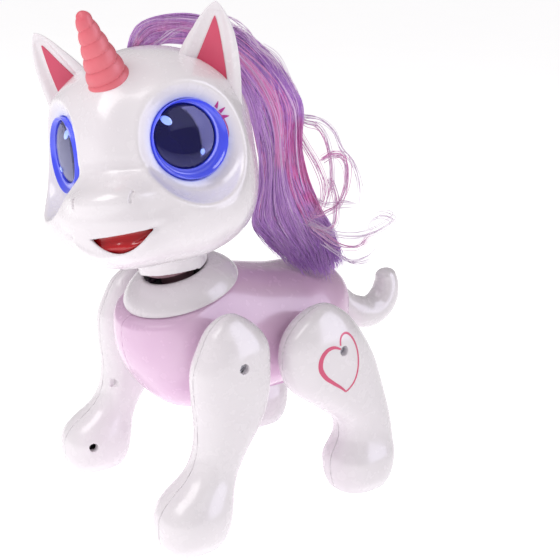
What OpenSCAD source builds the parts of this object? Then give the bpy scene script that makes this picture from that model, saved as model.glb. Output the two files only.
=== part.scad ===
/* [Head] */
// Turn of the head to its own left, in degrees, in the stored pose
head_turn = 38; // [30:1:42]
// Forward lean of the neck axis, in degrees
neck_lean = 18; // [17:0.5:19]
// Wall of the moulded head shells
head_wall = 2; // [1.6:0.1:2.2]
// Outer radius of the lit eye ring
eye_r = 20; // [18:0.5:21]
// Radius of the domed pupil
pupil_r = 15.5; // [13:0.5:16]
// Radius of the base of the horn
horn_r = 11.2; // [9:0.2:11.6]
// Length of the horn from its seat
horn_len = 35; // [28:1:40]
// Height of an ear above its seat
ear_len = 37; // [30:1:42]

/* [Body] */
// Widest half-width of the body between the legs
body_hw = 37.5; // [34:0.5:37.6]
// Wall of the body shells
body_wall = 2; // [1.6:0.1:2.4]
// Outer radius of the round neck collar
collar_r = 29.5; // [27:0.5:29.8]

/* [Legs and wheels] */
// Wall of the leg shells
leg_wall = 2; // [1.6:0.1:2.4]
// Radius of the hip axles
hip_r = 3; // [2.5:0.1:3.2]
// Radius of every wheel, tyre included
wheel_r = 9.5; // [9.5:0.1:9.7]
// Running clearance of shafts in their bores
run = 0.06; // [0.04:0.01:0.08]

/* [Hidden] */

WHITE = [0.96, 0.95, 0.97];
PINK = [0.90, 0.78, 0.88];
HOT = [0.85, 0.25, 0.52];
CORAL = [0.93, 0.52, 0.55];
DARK = [0.16, 0.14, 0.20];
GREY = [0.55, 0.55, 0.60];
BLUE = [0.25, 0.45, 0.98, 0.6];
STEEL = [0.75, 0.76, 0.78];
GREEN = [0.10, 0.42, 0.25];

// Neck joint: centre of the gap between the head skirt and the collar, and the axis the head turns on
NECK = [0, -39.5, 143.5];
AX = [0, -sin(neck_lean), cos(neck_lean)];
EB = [0, cos(neck_lean), sin(neck_lean)];   // square to AX, towards the tail

// Hips: where the legs swing, and the ground points of the wheels
FHIP = [-35, 98];
RHIP = [31, 94];
FWHEEL = [56, -61];
RWHEEL = [53, 55];

// ---------- small helpers ----------
function unit(v) = v / norm(v);
function flat1(l) = [for (r = l) for (p = r) p];
function mixv(a, b, t) = a * (1 - t) + b * t;
function look(t, x, i = 0) =
  x <= t[0][0] ? t[0] : i >= len(t) - 1 ? t[len(t) - 1] :
  x <= t[i + 1][0] ? let (u = (x - t[i][0]) / (t[i + 1][0] - t[i][0])) mixv(t[i], t[i + 1], u) : look(t, x, i + 1);
// the same table, read with a smooth curve through its rows
function crv(t, i, u, k) = let (
    a = t[max(i - 1, 0)][k], b = t[i][k], c = t[i + 1][k], d = t[min(i + 2, len(t) - 1)][k])
  0.5 * (2 * b + (c - a) * u + (2 * a - 5 * b + 4 * c - d) * u * u + (3 * b - a - 3 * c + d) * u * u * u);
function smooth_row(t, s) = let (i = min(floor(s), len(t) - 2), u = s - i) [for (k = [0 : len(t[0]) - 1]) crv(t, i, u, k)];
function tri_vol(p, f) = let (v = [for (g = f) p[g[0]] * cross(p[g[1]], p[g[2]])]) sum(v);
function sum(v, i = 0, a = 0) = i >= len(v) ? a : sum(v, i + 1, a + v[i]);
// OpenSCAD wants faces clockwise from outside, so a positive volume means the list is the other way round
module solid_of(p, f) {
  g = tri_vol(p, f) > 0 ? [for (t = f) [t[2], t[1], t[0]]] : f;
  polyhedron(p, g, convexity = 6);
}
// a closed loft: rings of equal length and one point that closes each end
module loft(rings, p0, p1) {
  n = len(rings[0]);
  m = len(rings);
  p = concat(flat1(rings), [p0, p1]);
  f = concat(
    [for (i = [0 : m - 2], j = [0 : n - 1], h = [0, 1]) let (a = i * n + j, b = i * n + (j + 1) % n)
      h == 0 ? [a, b, b + n] : [a, b + n, a + n]],
    [for (j = [0 : n - 1]) [(j + 1) % n, j, m * n]],
    [for (j = [0 : n - 1]) [(m - 1) * n + j, (m - 1) * n + (j + 1) % n, m * n + 1]]);
  solid_of(p, f);
}
// a half shell: open rows of outer points and inner points, an open first row or a pole before it, and a pole after the last
module half_shell(O, I, e0, e1) {
  n = len(O[0]) - 1;
  m = len(O);
  N = n + 1;
  z = m * N;
  hp = len(e0) > 0;
  p = concat(flat1(O), flat1(I), e1, hp ? e0 : []);
  q0 = 2 * z;
  r0 = 2 * z + 2;
  f = concat(
    [for (i = [0 : m - 2], j = [0 : n - 1], h = [0 : 3]) let (a = i * N + j)
      h == 0 ? [a, a + 1, a + 1 + N] : h == 1 ? [a, a + 1 + N, a + N] :
      h == 2 ? [z + a, z + a + 1 + N, z + a + 1] : [z + a, z + a + N, z + a + 1 + N]],
    // seams along both straight edges
    [for (i = [0 : m - 2], h = [0 : 3]) let (a = i * N, b = i * N + n)
      h == 0 ? [a, a + N, z + a + N] : h == 1 ? [a, z + a + N, z + a] :
      h == 2 ? [b, z + b + N, b + N] : [b, z + b, z + b + N]],
    // end pole
    [for (j = [0 : n - 1], h = [0, 1]) let (a = (m - 1) * N + j)
      h == 0 ? [a, a + 1, q0] : [z + a, q0 + 1, z + a + 1]],
    let (a = (m - 1) * N, b = (m - 1) * N + n)
      [[a, q0, q0 + 1], [a, q0 + 1, z + a], [b, q0 + 1, q0], [b, z + b, q0 + 1]],
    // first row: a rim, or a pole
    hp ? concat(
        [for (j = [0 : n - 1], h = [0, 1]) h == 0 ? [j + 1, j, r0] : [z + j + 1, r0 + 1, z + j]],
        [[0, r0 + 1, r0], [0, z, r0 + 1], [n, r0, r0 + 1], [n, r0 + 1, z + n]])
      : [for (j = [0 : n - 1], h = [0, 1]) h == 0 ? [j + 1, j, z + j] : [j + 1, z + j, z + j + 1]]);
  solid_of(p, f);
}
// draws its children with +Z turned along d, at p
module along(p, d) {
  translate(p) rotate([0, acos(d.z / norm(d)), atan2(d.y, d.x)]) children();
}
module on_neck() { translate(NECK) rotate([neck_lean, 0, 0]) children(); }
// the head is drawn facing forwards and turned here
module turned() { translate(NECK) rotate(a = head_turn, v = AX) translate(-NECK) children(); }
module right() { mirror([1, 0, 0]) children(); }

// ---------- head form: rounded solids blended into one another ----------
function ell(q, c, r) = let (d = q - c, a = [d.x / r.x, d.y / r.y, d.z / r.z], k = norm(a),
  g = norm([a.x / r.x, a.y / r.y, a.z / r.z])) k * (k - 1) / (g + 0.000001);
function smin(a, b, k) = let (h = max(0, min(1, 0.5 + 0.5 * (b - a) / k))) b * (1 - h) + a * h - k * h * (1 - h);
function smax(a, b, k) = -smin(-a, -b, k);
function skirt(q) = let (v = q - NECK, s = v * AX, w = norm(v - s * AX), dx = w - 17.5, dy = max(-1.5 - s, s - 28.5))
  min(max(dx, dy), 0) + norm([max(dx, 0), max(dy, 0)]) - 1.5;

EYE = [35, -70, 205];
EYE_N = unit([0.682, -0.731, 0.05]);
EYE_FLOOR = -6;
HORN_S = [0, -78, 242] - 1.5 * unit([0, -16, 30]);
HORN_N = unit([0, -16, 30]);
EAR_M = unit([0.70, -0.10, 0.70]);
EAR_S = [42, -45, 236] - 1.6 * EAR_M;
MOUTH_S = [0, -102.5, 164.5];
MOUTH_N = unit([0, -0.893, -0.45]);
CROWN_Z = 253.4;

// removes everything past a plane at point s with normal n, within radius r
function cut(d, q, s, n, r) = let (v = q - s, h = v * n, w = norm(v - h * n)) max(d, min(r - w, h));
function head_f(p) = let (
    q = [abs(p.x), p.y, p.z],
    a = smin(ell(q, [0, -40, 211], [54, 50, 44]), ell(q, [25, -50, 181], [32, 41, 31]), 16),
    a2 = smin(a, ell(q, [24, -58, 197], [32, 30, 40]), 9),
    a3 = smin(a2, ell(q, [24, -57, 171], [30.5, 32, 24]), 9),
    b = smax(a3, (q - EYE) * EYE_N - 1.2, 4),
    c = smin(b, ell(q, [0, -70, 166], [36, 38, 21]), 14),
    d = smin(c, ell(q, [0, -86, 177], [27, 33, 15]), 10),
    e = smin(d, ell(q, [0, -70, 202], [17, 25, 34]), 12),
    f = smin(e, skirt(q), 7),
    g = cut(f, q, EYE + (EYE_FLOOR - 2) * EYE_N, EYE_N, eye_r + 2.4),
    h = cut(g, q, HORN_S, HORN_N, 17),
    k = cut(h, q, EAR_S - 0.9 * EAR_M, EAR_M, 24),
    l = cut(k, q, MOUTH_S - 1.2 * MOUTH_N, MOUTH_N, 12.6))
  cut(l, q, [0, -35, CROWN_Z], [0, 0, 1], 16);

HC = [0, -35, 200];   // every ray from here leaves the head once
// walks inwards along a ray until the form is lev deep
function ray_r(d, r, lev, k = 0) = let (f = head_f(HC + r * d) - lev)
  (abs(f) < 0.012 || k > 70) ? r : ray_r(d, r - 0.85 * f, lev, k + 1);
function hdir(th, az) = [sin(th) * cos(az), sin(th) * sin(az), -cos(th)];
module head_half(az0, az1, rows, cols) {
  th = [for (i = [0 : rows - 1]) 12.5 + 163 * i / (rows - 1)];
  dirs = [for (t = th) [for (j = [0 : cols]) hdir(t, az0 + (az1 - az0) * j / cols)]];
  rad = [for (r = dirs) [for (d = r) ray_r(d, 112, 0)]];
  O = [for (i = [0 : rows - 1]) [for (j = [0 : cols]) HC + rad[i][j] * dirs[i][j]]];
  I = [for (i = [0 : rows - 1]) [for (j = [0 : cols]) HC + ray_r(dirs[i][j], rad[i][j] - 0.5 * head_wall, -head_wall) * dirs[i][j]]];
  ro = ray_r([0, 0, 1], 112, 0);
  half_shell(O, I, [], [HC + [0, 0, ro], HC + [0, 0, ray_r([0, 0, 1], ro, -head_wall)]]);
}
// round seats that the eye units and the mouth insert drop into
module face_seats() {
  eye_frame() translate([0, 0, EYE_FLOOR - 0.1]) cylinder(r = eye_r + 0.3, h = 20, $fn = 96);
  right() eye_frame() translate([0, 0, EYE_FLOOR - 0.1]) cylinder(r = eye_r + 0.3, h = 20, $fn = 96);
  along(MOUTH_S - 0.1 * MOUTH_N, MOUTH_N) cylinder(r = 9.9, h = 12, $fn = 48);
}
module face_shell() {
  color(WHITE) turned() difference() {
    head_half(-180, 0, 30, 30);
    face_seats();
  }
}
module head_back_shell() { color(WHITE) turned() head_half(0, 180, 22, 20); }

module horn() {
  n = 6;
  r = function (t) horn_r * pow(1 - t, 0.82) + 0.9 * sin(180 * ((t * n) % 1)) * (1 - 0.5 * t);
  color(CORAL) turned() along(HORN_S, HORN_N)
    rotate_extrude($fn = 48)
      polygon(concat([[0, 0]], [for (i = [0 : 47]) [max(r(i / 48), 0.8), horn_len * i / 48]], [[0, horn_len]]));
}

// ears: a leaf with a flat front, on a seat cut in the head
EAR_W = unit([0.30, -0.16, 0.94]);
EAR_F = let (n = [0.20, -0.97, 0.0]) unit(n - (n * EAR_W) * EAR_W);
EAR_U = cross(EAR_F, EAR_W);
function ear_hw(t) = 17 * pow(1 - t, 0.8) * (1 + 0.45 * t);
function ear_pt(x, y, t) = let (
    p = EAR_S + EAR_W * ear_len * t + EAR_U * x + EAR_F * y,
    m = unit(mixv(EAR_M, EAR_W, min(1, 1.6 * t))),
    c = EAR_S + EAR_W * ear_len * t)
  p - EAR_W * ((p - c) * m) / (EAR_W * m);
module ear_solid() {
  T = [0, 0.12, 0.26, 0.42, 0.58, 0.72, 0.84, 0.93];
  rings = [for (t = T) let (w = ear_hw(t), h = 6.5 * (1 - 0.75 * t))
    concat([for (j = [0 : 10]) ear_pt(w * cos(18 * j), -h * sin(18 * j), t)],
           [for (j = [1 : 5]) ear_pt(-w + 2 * w * j / 6, 0, t)])];
  loft(rings, EAR_S - EAR_F * 2, EAR_S + EAR_W * ear_len);
}
module ear_left() { color(WHITE) turned() ear_solid(); }
module ear_right() { color(WHITE) turned() right() ear_solid(); }
module ear_insert_solid() {
  T = [0.08, 0.18, 0.30, 0.42, 0.54, 0.64, 0.71];
  hw = function (t) 7.2 * pow(max(0, 1 - (t - 0.08) / 0.66), 0.8);
  out = function (y) concat(
    [for (i = [0 : 6]) ear_pt(hw(T[i]), y, T[i])],
    [for (i = [6 : -1 : 0]) ear_pt(-hw(T[i]), y, T[i])]);
  loft([out(0), out(0.9)], ear_pt(0, 0, 0.4), ear_pt(0, 0.9, 0.4));
}
module ear_inserts() { color(HOT) turned() { ear_insert_solid(); right() ear_insert_solid(); } }

// eye unit, in a frame with +Z out of the eye
module eye_frame() { along(EYE, EYE_N) children(); }
// the pupil sits in and up from the middle of the lit ring
PUPIL = EYE + 2.4 * unit([EYE_N.y, -EYE_N.x, 0]) + [0, 0, 2.0];
module pupil_frame() { along(PUPIL - ((PUPIL - EYE) * EYE_N) * EYE_N, EYE_N) children(); }
module led_board() {
  translate([0, 0, EYE_FLOOR]) cylinder(r = pupil_r + 2, h = 1.2, $fn = 64);
  for (i = [0 : 11]) rotate([0, 0, 30 * i]) translate([pupil_r + 0.2, 0, EYE_FLOOR + 1.2]) translate([-1, -1, 0]) cube([2, 2, 0.9]);
}
module eye_ring() {
  difference() {
    eye_frame() rotate_extrude($fn = 96) polygon(concat([[0, EYE_FLOOR + 2.4], [0, 1.6]],
      [for (i = [0 : 6]) [eye_r - 3 + 3 * sin(15 * i), -0.8 + 2.4 * cos(15 * i)]],
      [[eye_r, EYE_FLOOR + 2.4]]));
    pupil_frame() translate([0, 0, EYE_FLOOR - 2]) cylinder(r = pupil_r + 0.3, h = 20, $fn = 96);
  }
}
module eye_pupil() {
  rotate_extrude($fn = 96) polygon(concat([[0, EYE_FLOOR + 2.4], [pupil_r, EYE_FLOOR + 2.4], [pupil_r, -0.4]],
    [for (i = [1 : 12]) [pupil_r * cos(7.5 * i), -0.4 + 2.6 * sin(7.5 * i)]]));
}
module eye_lens() {
  rotate_extrude($fn = 96) polygon(concat(
    [for (i = [0 : 12]) [(pupil_r + 0.03) * cos(7.5 * i), -0.2 + 2.75 * sin(7.5 * i)]],
    [for (i = [12 : -1 : 0]) [(pupil_r + 0.2) * cos(7.5 * i), -0.2 + 3.6 * sin(7.5 * i)]]));
}
module eye_ring_left() { color(BLUE) turned() eye_ring(); }
module eye_ring_right() { color(BLUE) turned() right() eye_ring(); }
module pupil_left() { color(DARK) turned() pupil_frame() eye_pupil(); }
module pupil_right() { color(DARK) turned() right() pupil_frame() eye_pupil(); }
module eye_lens_left() { color([0.6, 0.6, 0.9, 0.3]) turned() pupil_frame() eye_lens(); }
module eye_lens_right() { color([0.6, 0.6, 0.9, 0.3]) turned() right() pupil_frame() eye_lens(); }
module eye_led_boards() { color(GREEN) turned() { eye_frame() led_board(); right() eye_frame() led_board(); } }
module mouth_insert() {
  color([0.80, 0.10, 0.18]) turned() along(MOUTH_S, MOUTH_N) cylinder(r = 9.6, h = 1.6, $fn = 48);
}

// mane: rows of centre, wide axis, thick axis, half-width, half-thickness
MANE = [
  [0, -45, 260.2,   1, 0, 0,        0, 0.10, 1,      5, 2.4],
  [2, -32, 262.4,   1, 0, 0,        0, 0.20, 1,      11, 4.4],
  [9, -5, 253.8,    1, 0, -0.15,    0, 0.55, 0.83,   19, 6.5],
  [24, 13.5, 230,   0.95, -0.15, -0.2, 0.15, 0.93, 0.3, 25, 8],
  [43, 14, 204,     0.92, -0.34, 0, 0.34, 0.94, 0,   26, 8.5],
  [50, 14, 180,     0.92, -0.34, 0, 0.34, 0.94, 0,   25, 8.5],
  [55, 14.5, 160,   0.92, -0.34, 0, 0.34, 0.94, 0,   20, 8.5],
  [62, 16, 142,     0.92, -0.34, 0, 0.34, 0.94, 0,   13, 7],
  [67, 18, 131,     0.92, -0.34, 0, 0.34, 0.94, 0,   6.5, 4.5]];
module mane() {
  rings = [for (s = [0 : 0.5 : 8]) let (r = smooth_row(MANE, s), c = [r[0], r[1], r[2]],
      u = unit([r[3], r[4], r[5]]), v = unit([r[6], r[7], r[8]]))
    [for (j = [0 : 19]) c + u * r[9] * cos(18 * j) + v * r[10] * sin(18 * j)]];
  color([0.86, 0.42, 0.75]) turned() loft(rings, [0, -48, 259.6], [70, 19, 126]);
}
module hair_plug() {
  color(PINK) turned() translate([0, -35, CROWN_Z]) cylinder(r = 9, h = 6, $fn = 48);
}

// ---------- neck ----------
POST_R = 9;
GEAR_M = 0.8;
GEAR_Z = 32;
PIN_Z = 12;
GEAR_D = GEAR_M * (GEAR_Z + PIN_Z) / 2 + 0.12;

// involute outline: teeth t of module m, starting phase ph; short addendum for free running
function inv(a) = tan(a) * 180 / PI - a;
function flank(r, rb, z, bl) = let (a = r <= rb ? 0 : acos(rb / r)) 90 / z + inv(20) - inv(a) - bl;
function gear_pts(z, m, ph, bl = 0.9) = let (
    rp = m * z / 2, rb = rp * cos(20), ra = rp + 0.8 * m, rr = rp - 1.15 * m, r0 = max(rb, rr + 0.02),
    rs = [rr, for (i = [0 : 4]) r0 + (ra - r0) * i / 4])
  [for (k = [0 : z - 1]) let (c = ph + 360 * k / z)
    each concat([for (r = rs) let (w = flank(max(r, r0), rb, z, bl)) r * [cos(c - w), sin(c - w)]],
      [for (i = [len(rs) - 1 : -1 : 0]) let (r = rs[i], w = flank(max(r, r0), rb, z, bl)) r * [cos(c + w), sin(c + w)]])];

module neck_post() {
  color(GREY) turned() on_neck() {
    translate([0, 0, -36]) cylinder(r = POST_R, h = 31, $fn = 64);
    translate([0, 0, -5]) cylinder(r = 16.5, h = 2, $fn = 64);
    translate([0, 0, -44]) cylinder(r = 4, h = 8, $fn = 48);
    translate([0, 0, -3]) cylinder(r = 8.5, h = 9, $fn = 48);
  }
}
module neck_gear() {
  color(GREY) turned() on_neck() translate([0, 0, -41]) difference() {
    linear_extrude(5) polygon(gear_pts(GEAR_Z, GEAR_M, -head_turn + 90));
    translate([0, 0, -1]) cylinder(r = 4 + run, h = 7, $fn = 48);
  }
}
module neck_pinion() {
  color(STEEL) on_neck() translate([0, GEAR_D, 0]) {
    translate([0, 0, -41]) linear_extrude(5) polygon(gear_pts(PIN_Z, GEAR_M, -90 + 180 / PIN_Z));
    translate([0, 0, -50]) cylinder(r = 1.5, h = 9, $fn = 32);
  }
}
module neck_motor() {
  color(STEEL) on_neck() translate([0, GEAR_D, 0]) difference() {
    union() {
      translate([0, 0, -67]) cylinder(r = 10, h = 24, $fn = 48);
      translate([0, 0, -43]) cylinder(r = 3.5, h = 1, $fn = 48);
    }
    translate([0, 0, -52]) cylinder(r = 1.5 + run, h = 11, $fn = 48);
  }
}
module neck_bearing() {
  color(GREY) on_neck() difference() {
    union() {
      translate([0, 0, -24]) cylinder(r = 24, h = 2, $fn = 72);
      translate([0, 0, -34]) cylinder(r = 12, h = 10, $fn = 64);
    }
    translate([0, 0, -35]) cylinder(r = POST_R + run, h = 16, $fn = 64);
  }
}
module neck_collar() {
  color(WHITE) on_neck() rotate_extrude($fn = 96) polygon(concat(
    [[21.5, -22], [24, -22], [24, -19.4], [collar_r - 0.6, -19.4]],
    [for (i = [0 : 12]) let (a = 7.5 * i) [19 + (collar_r - 19) * cos(a), -18.8 + 11 * sin(a)]],
    [[17.4, -7.8], [17.4, -10]],
    [for (i = [12 : -1 : 0]) let (a = 7.5 * i) [19 + (collar_r - 8 - 19 + 5.2) * cos(a) * 0.99, -19 + 8.8 * sin(a)]],
    [[21.5, -19]]));
}

// ---------- body ----------
// rows of y, height of centre, half-width, half-height
BODY = [
  [-66, 104, 18, 20], [-58, 102, 29, 31], [-46, 99, 35.5, 39], [-30, 97, 37, 41.5], [-10, 96, 37.4, 39],
  [12, 94, 37.4, 36.5], [32, 93.5, 37, 33.5], [52, 96, 33.5, 30], [66, 99, 26, 23.5], [75, 101, 15, 14]];
function body_row(y) = look_smooth(BODY, y);
function find(t, x, i = 0) = i >= len(t) - 2 || x < t[i + 1][0] ? i : find(t, x, i + 1);
function look_smooth(t, x) = let (i = find(t, x), u = (x - t[i][0]) / (t[i + 1][0] - t[i][0])) smooth_row(t, i + u);
function body_pt(r, a, w) = let (e = 2 / 2.3, hw = min(r[2], body_hw) - w, hh = r[3] - w)
  [hw * pow(abs(cos(a)), e), r[0], r[1] + hh * sign(sin(a)) * pow(abs(sin(a)), e)];
// the body is cut off level with the foot of the neck collar, down to depth w inside
function collar_top(p, w) = let (z = NECK.z + (-20.6 - w - 0.12 * max(0, norm([p.x, p.y + 33]) - 30) + sin(neck_lean) * (p.y - NECK.y)) / cos(neck_lean))
  [p.x, p.y, min(p.z, z)];
module body_half() {
  ys = [for (s = [0 : 0.5 : 9]) smooth_row(BODY, s)];
  n = 16;
  O = [for (r = ys) [for (j = [0 : n]) collar_top(body_pt(r, -90 + 180 * j / n, 0), 0)]];
  I = [for (r = ys) let (k = 1 - body_wall / 72) [for (j = [0 : n]) let (p = body_pt(r, -90 + 180 * j / n, body_wall)) collar_top([p.x, (p.y - 4) * k + 4, p.z], body_wall)]];
  half_shell(O, I, [[0, -70.5, 104], [0, -68, 104]], [[0, 79.5, 102], [0, 77, 102]]);
}
// screw posts between the two halves: y, z, length
POSTS = [[-57, 84, 25], [58, 92, 29], [66, 108, 22]];
HUBS = [FHIP, RHIP];
module body_cuts() {
  // neck opening, charging hole, battery opening, switch slot, tail opening
  on_neck() translate([0, 0, -20.3]) cylinder(r = collar_r + 0.5, h = 60, $fn = 72);
  on_neck() translate([0, 0, -25]) cylinder(r = 24.4, h = 10, $fn = 72);
  translate([0, -24, 40]) cylinder(r = 5.1, h = 30, $fn = 48);
  translate([-15, 0, 40]) cube([30, 38, 30]);
  translate([-14.3, -31, 40]) cube([4.6, 9.2, 30]);
  translate([0, 66, 102.4]) rotate([-90, 0, 0]) cylinder(r = 9.9, h = 20, $fn = 48);
}
module body_left_shell() {
  color(PINK) difference() {
    union() {
      body_half();
      for (h = HUBS) translate([27, h[0], h[1]]) rotate([0, 90, 0]) cylinder(r = hip_r + 3, h = 9, $fn = 48);
      for (s = POSTS) translate([0, s[0], s[1]]) rotate([0, 90, 0]) cylinder(r = 3.4, h = s[2], $fn = 32);
    }
    body_cuts();
    for (h = HUBS) translate([25, h[0], h[1]]) rotate([0, 90, 0]) cylinder(r = hip_r + run, h = 20, $fn = 48);
    for (s = POSTS) translate([-1, s[0], s[1]]) rotate([0, 90, 0]) cylinder(r = 1.3, h = 12, $fn = 32);
  }
}
module body_right_shell() {
  color(PINK) difference() {
    union() {
      right() body_half();
      for (h = HUBS) translate([-36, h[0], h[1]]) rotate([0, 90, 0]) cylinder(r = hip_r + 3, h = 9, $fn = 48);
      for (s = POSTS) translate([-s[2], s[0], s[1]]) rotate([0, 90, 0]) cylinder(r = 3.4, h = s[2], $fn = 32);
    }
    body_cuts();
    for (h = HUBS) translate([-45, h[0], h[1]]) rotate([0, 90, 0]) cylinder(r = hip_r + run, h = 20, $fn = 48);
    for (s = POSTS) {
      translate([-60, s[0], s[1]]) rotate([0, 90, 0]) cylinder(r = 1.3 + 0.05, h = 61, $fn = 32);
      translate([-60, s[0], s[1]]) rotate([0, 90, 0]) cylinder(r = 2.6, h = 60 - s[2] + 6, $fn = 32);
    }
  }
}
module body_screws() {
  color(STEEL) for (s = POSTS) {
    translate([-s[2] + 6, s[0], s[1]]) rotate([0, 90, 0]) cylinder(r = 1.25, h = s[2] + 4, $fn = 32);
    translate([-s[2] + 4.2, s[0], s[1]]) rotate([0, 90, 0]) cylinder(r = 2.4, h = 1.8, $fn = 32);
  }
}
module hip_axles() {
  color(STEEL) for (m = [1, -1], h = HUBS)
    translate([m > 0 ? 27 : -50, h[0], h[1]]) rotate([0, 90, 0]) cylinder(r = hip_r, h = 23, $fn = 48);
}
module main_board() {
  color(GREEN) {
    translate([-20, 14, 110]) cube([40, 40, 1.6]);
    translate([-8, 22, 111.6]) cube([12, 12, 1.2]);
    translate([8, 40, 111.6]) cube([7, 5, 2]);
    translate([-16, 42, 111.6]) cube([8, 6, 4]);
  }
}
module battery_pack() { color([0.2, 0.3, 0.6]) translate([-17, 2, 66]) cube([34, 34, 16]); }
module battery_door() {
  color(PINK) {
    translate([-14.7, 0.3, 58]) cube([29.4, 37.4, 2.4]);
    translate([-12, 3, 60.4]) cube([24, 2, 2]);
    translate([-12, 33, 60.4]) cube([24, 2, 2]);
  }
}
module speaker() {
  color(DARK) translate([0, -47, 90]) rotate([90, 0, 0]) {
    cylinder(r = 13, h = 2.4, $fn = 64);
    translate([0, 0, -3.6]) cylinder(r = 8, h = 3.6, $fn = 48);
  }
}
module charge_socket() {
  color(DARK) translate([0, -24, 0]) difference() {
    translate([0, 0, 55.4]) cylinder(r = 5, h = 12, $fn = 48);
    translate([0, 0, 54]) cylinder(r = 1.75, h = 10.4, $fn = 32);
  }
}
module power_switch_knob() {
  color(DARK) {
    translate([-14, -30.8, 55]) cube([4, 4.4, 6.7]);
    translate([-15.4, -32, 61.7]) cube([6.8, 7, 1.4]);
  }
}

// tail: rows of y, height, radius, drawn in the middle plane; its root turns on an upright pin
TAIL_Y = 70;
TAIL = [[74, 103.5, 5], [80, 99.5, 5.8], [87, 91.5, 7.6], [95, 85, 9.1], [104, 82.8, 9.7], [113, 86.5, 9.5],
  [118.6, 95, 8.8], [119.8, 104.5, 7], [117.5, 113, 4.8], [114, 118.5, 2.8]];
module tail() {
  rows = [for (s = [0 : 0.5 : 9]) smooth_row(TAIL, s)];
  nx = [for (i = [0 : len(rows) - 1]) let (a = rows[max(i - 1, 0)], b = rows[min(i + 1, len(rows) - 1)], t = unit([b[0] - a[0], b[1] - a[1]])) [-t[1], t[0]]];
  rings = [for (i = [0 : len(rows) - 1]) [for (j = [0 : 15]) let (r = rows[i][2], c = cos(22.5 * j), s = sin(22.5 * j))
    [r * c, rows[i][0] + r * s * nx[i][0], rows[i][1] + r * s * nx[i][1]]]];
  color(WHITE) {
    loft(rings, [0, 74, 103.5], [0, 112.5, 120.3]);
    translate([0, TAIL_Y, 97]) cylinder(r = 3, h = 6.9, $fn = 32);
    translate([-2.5, TAIL_Y, 100]) cube([5, 6, 4.4]);
  }
}

// ---------- legs ----------
// rows of z, y of centre, half-depth, half-thickness, x of centre
FLEG = [
  [2.6, -61.5, 16.6, 14.4, 56], [7, -61.5, 18.8, 17.1, 56], [13, -61, 20.2, 18.2, 56], [22, -60, 20.8, 18, 56],
  [30, -56.5, 18.6, 15.6, 55.6], [39, -49, 14.4, 12.8, 54.6], [50, -42.5, 14.6, 12.6, 53.6], [65, -36.5, 19.2, 13.3, 52.8],
  [80, -35, 22.2, 13.8, 52.4], [95, -35, 22.6, 13.8, 52.2], [107, -33.5, 19.6, 12.6, 52], [116, -34.5, 14, 9.4, 51.8], [121.5, -35.5, 7, 5, 51.6]];
FTOP = [[51.6, -36, 123.8], [51.6, -36, 121.2]];
RLEG = [
  [2.6, 55, 16.6, 14.4, 53], [7, 55, 18.8, 17.1, 53], [13, 55.2, 20.4, 18.2, 53], [22, 55.4, 21.4, 18, 53],
  [29, 56.4, 19.6, 15.4, 53], [37, 57.4, 17.8, 13.4, 53], [47, 55, 18, 13, 52.8], [58, 46.5, 23.4, 13.4, 52.5],
  [70, 36.5, 29.6, 13.8, 52.2], [80, 31.5, 31, 13.9, 52], [91, 27.5, 29, 13.8, 52], [102, 25, 24, 12.8, 51.8], [111, 25, 16, 10, 51.6], [116, 25.6, 8, 6, 51.6]];
RTOP = [[51.6, 26, 118.4], [51.6, 26, 116]];
// side s = 1 is the outer half, -1 the inner half
function leg_pt(r, a, s, w) = let (e = 2 / 2.4) [r[4] + s * (r[3] - w) * pow(abs(cos(a)), e), r[1] + (r[2] - w) * sign(sin(a)) * pow(abs(sin(a)), e), r[0]];
module leg_half(T, top, s) {
  rows = [for (i = [0 : 0.5 : len(T) - 1]) smooth_row(T, i)];
  n = 12;
  m = len(rows);
  O = [for (r = rows) [for (j = [0 : n]) leg_pt(r, -90 + 180 * j / n, s, 0)]];
  I = [for (i = [0 : m - 1]) let (r = rows[i]) [for (j = [0 : n]) let (p = leg_pt(r, -90 + 180 * j / n, s, leg_wall)) [p.x, p.y, i > m - 5 ? p.z - (i - m + 5) * 0.45 : p.z]]];
  half_shell(O, I, [], top);
}
module leg_outer(T, top, hip, holes) {
  difference() {
    union() {
      leg_half(T, top, 1);
      translate([52.5, hip[0], hip[1]]) rotate([0, 90, 0]) cylinder(r = 4.2, h = 11.8, $fn = 32);
    }
    // recessed cap screw at the hip
    translate([60.2, hip[0], hip[1]]) rotate([0, 90, 0]) cylinder(r = 2.7, h = 20, $fn = 32);
    translate([50, hip[0], hip[1]]) rotate([0, 90, 0]) cylinder(r = 1.35, h = 20, $fn = 32);
  }
}
module leg_inner(T, top, hip) {
  difference() {
    union() {
      leg_half(T, top, -1);
      translate([39.4, hip[0], hip[1]]) rotate([0, 90, 0]) cylinder(r = 6, h = 10, $fn = 48);
    }
    translate([30, hip[0], hip[1]]) rotate([0, 90, 0]) cylinder(r = hip_r + run, h = 40, $fn = 48);
  }
}
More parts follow.
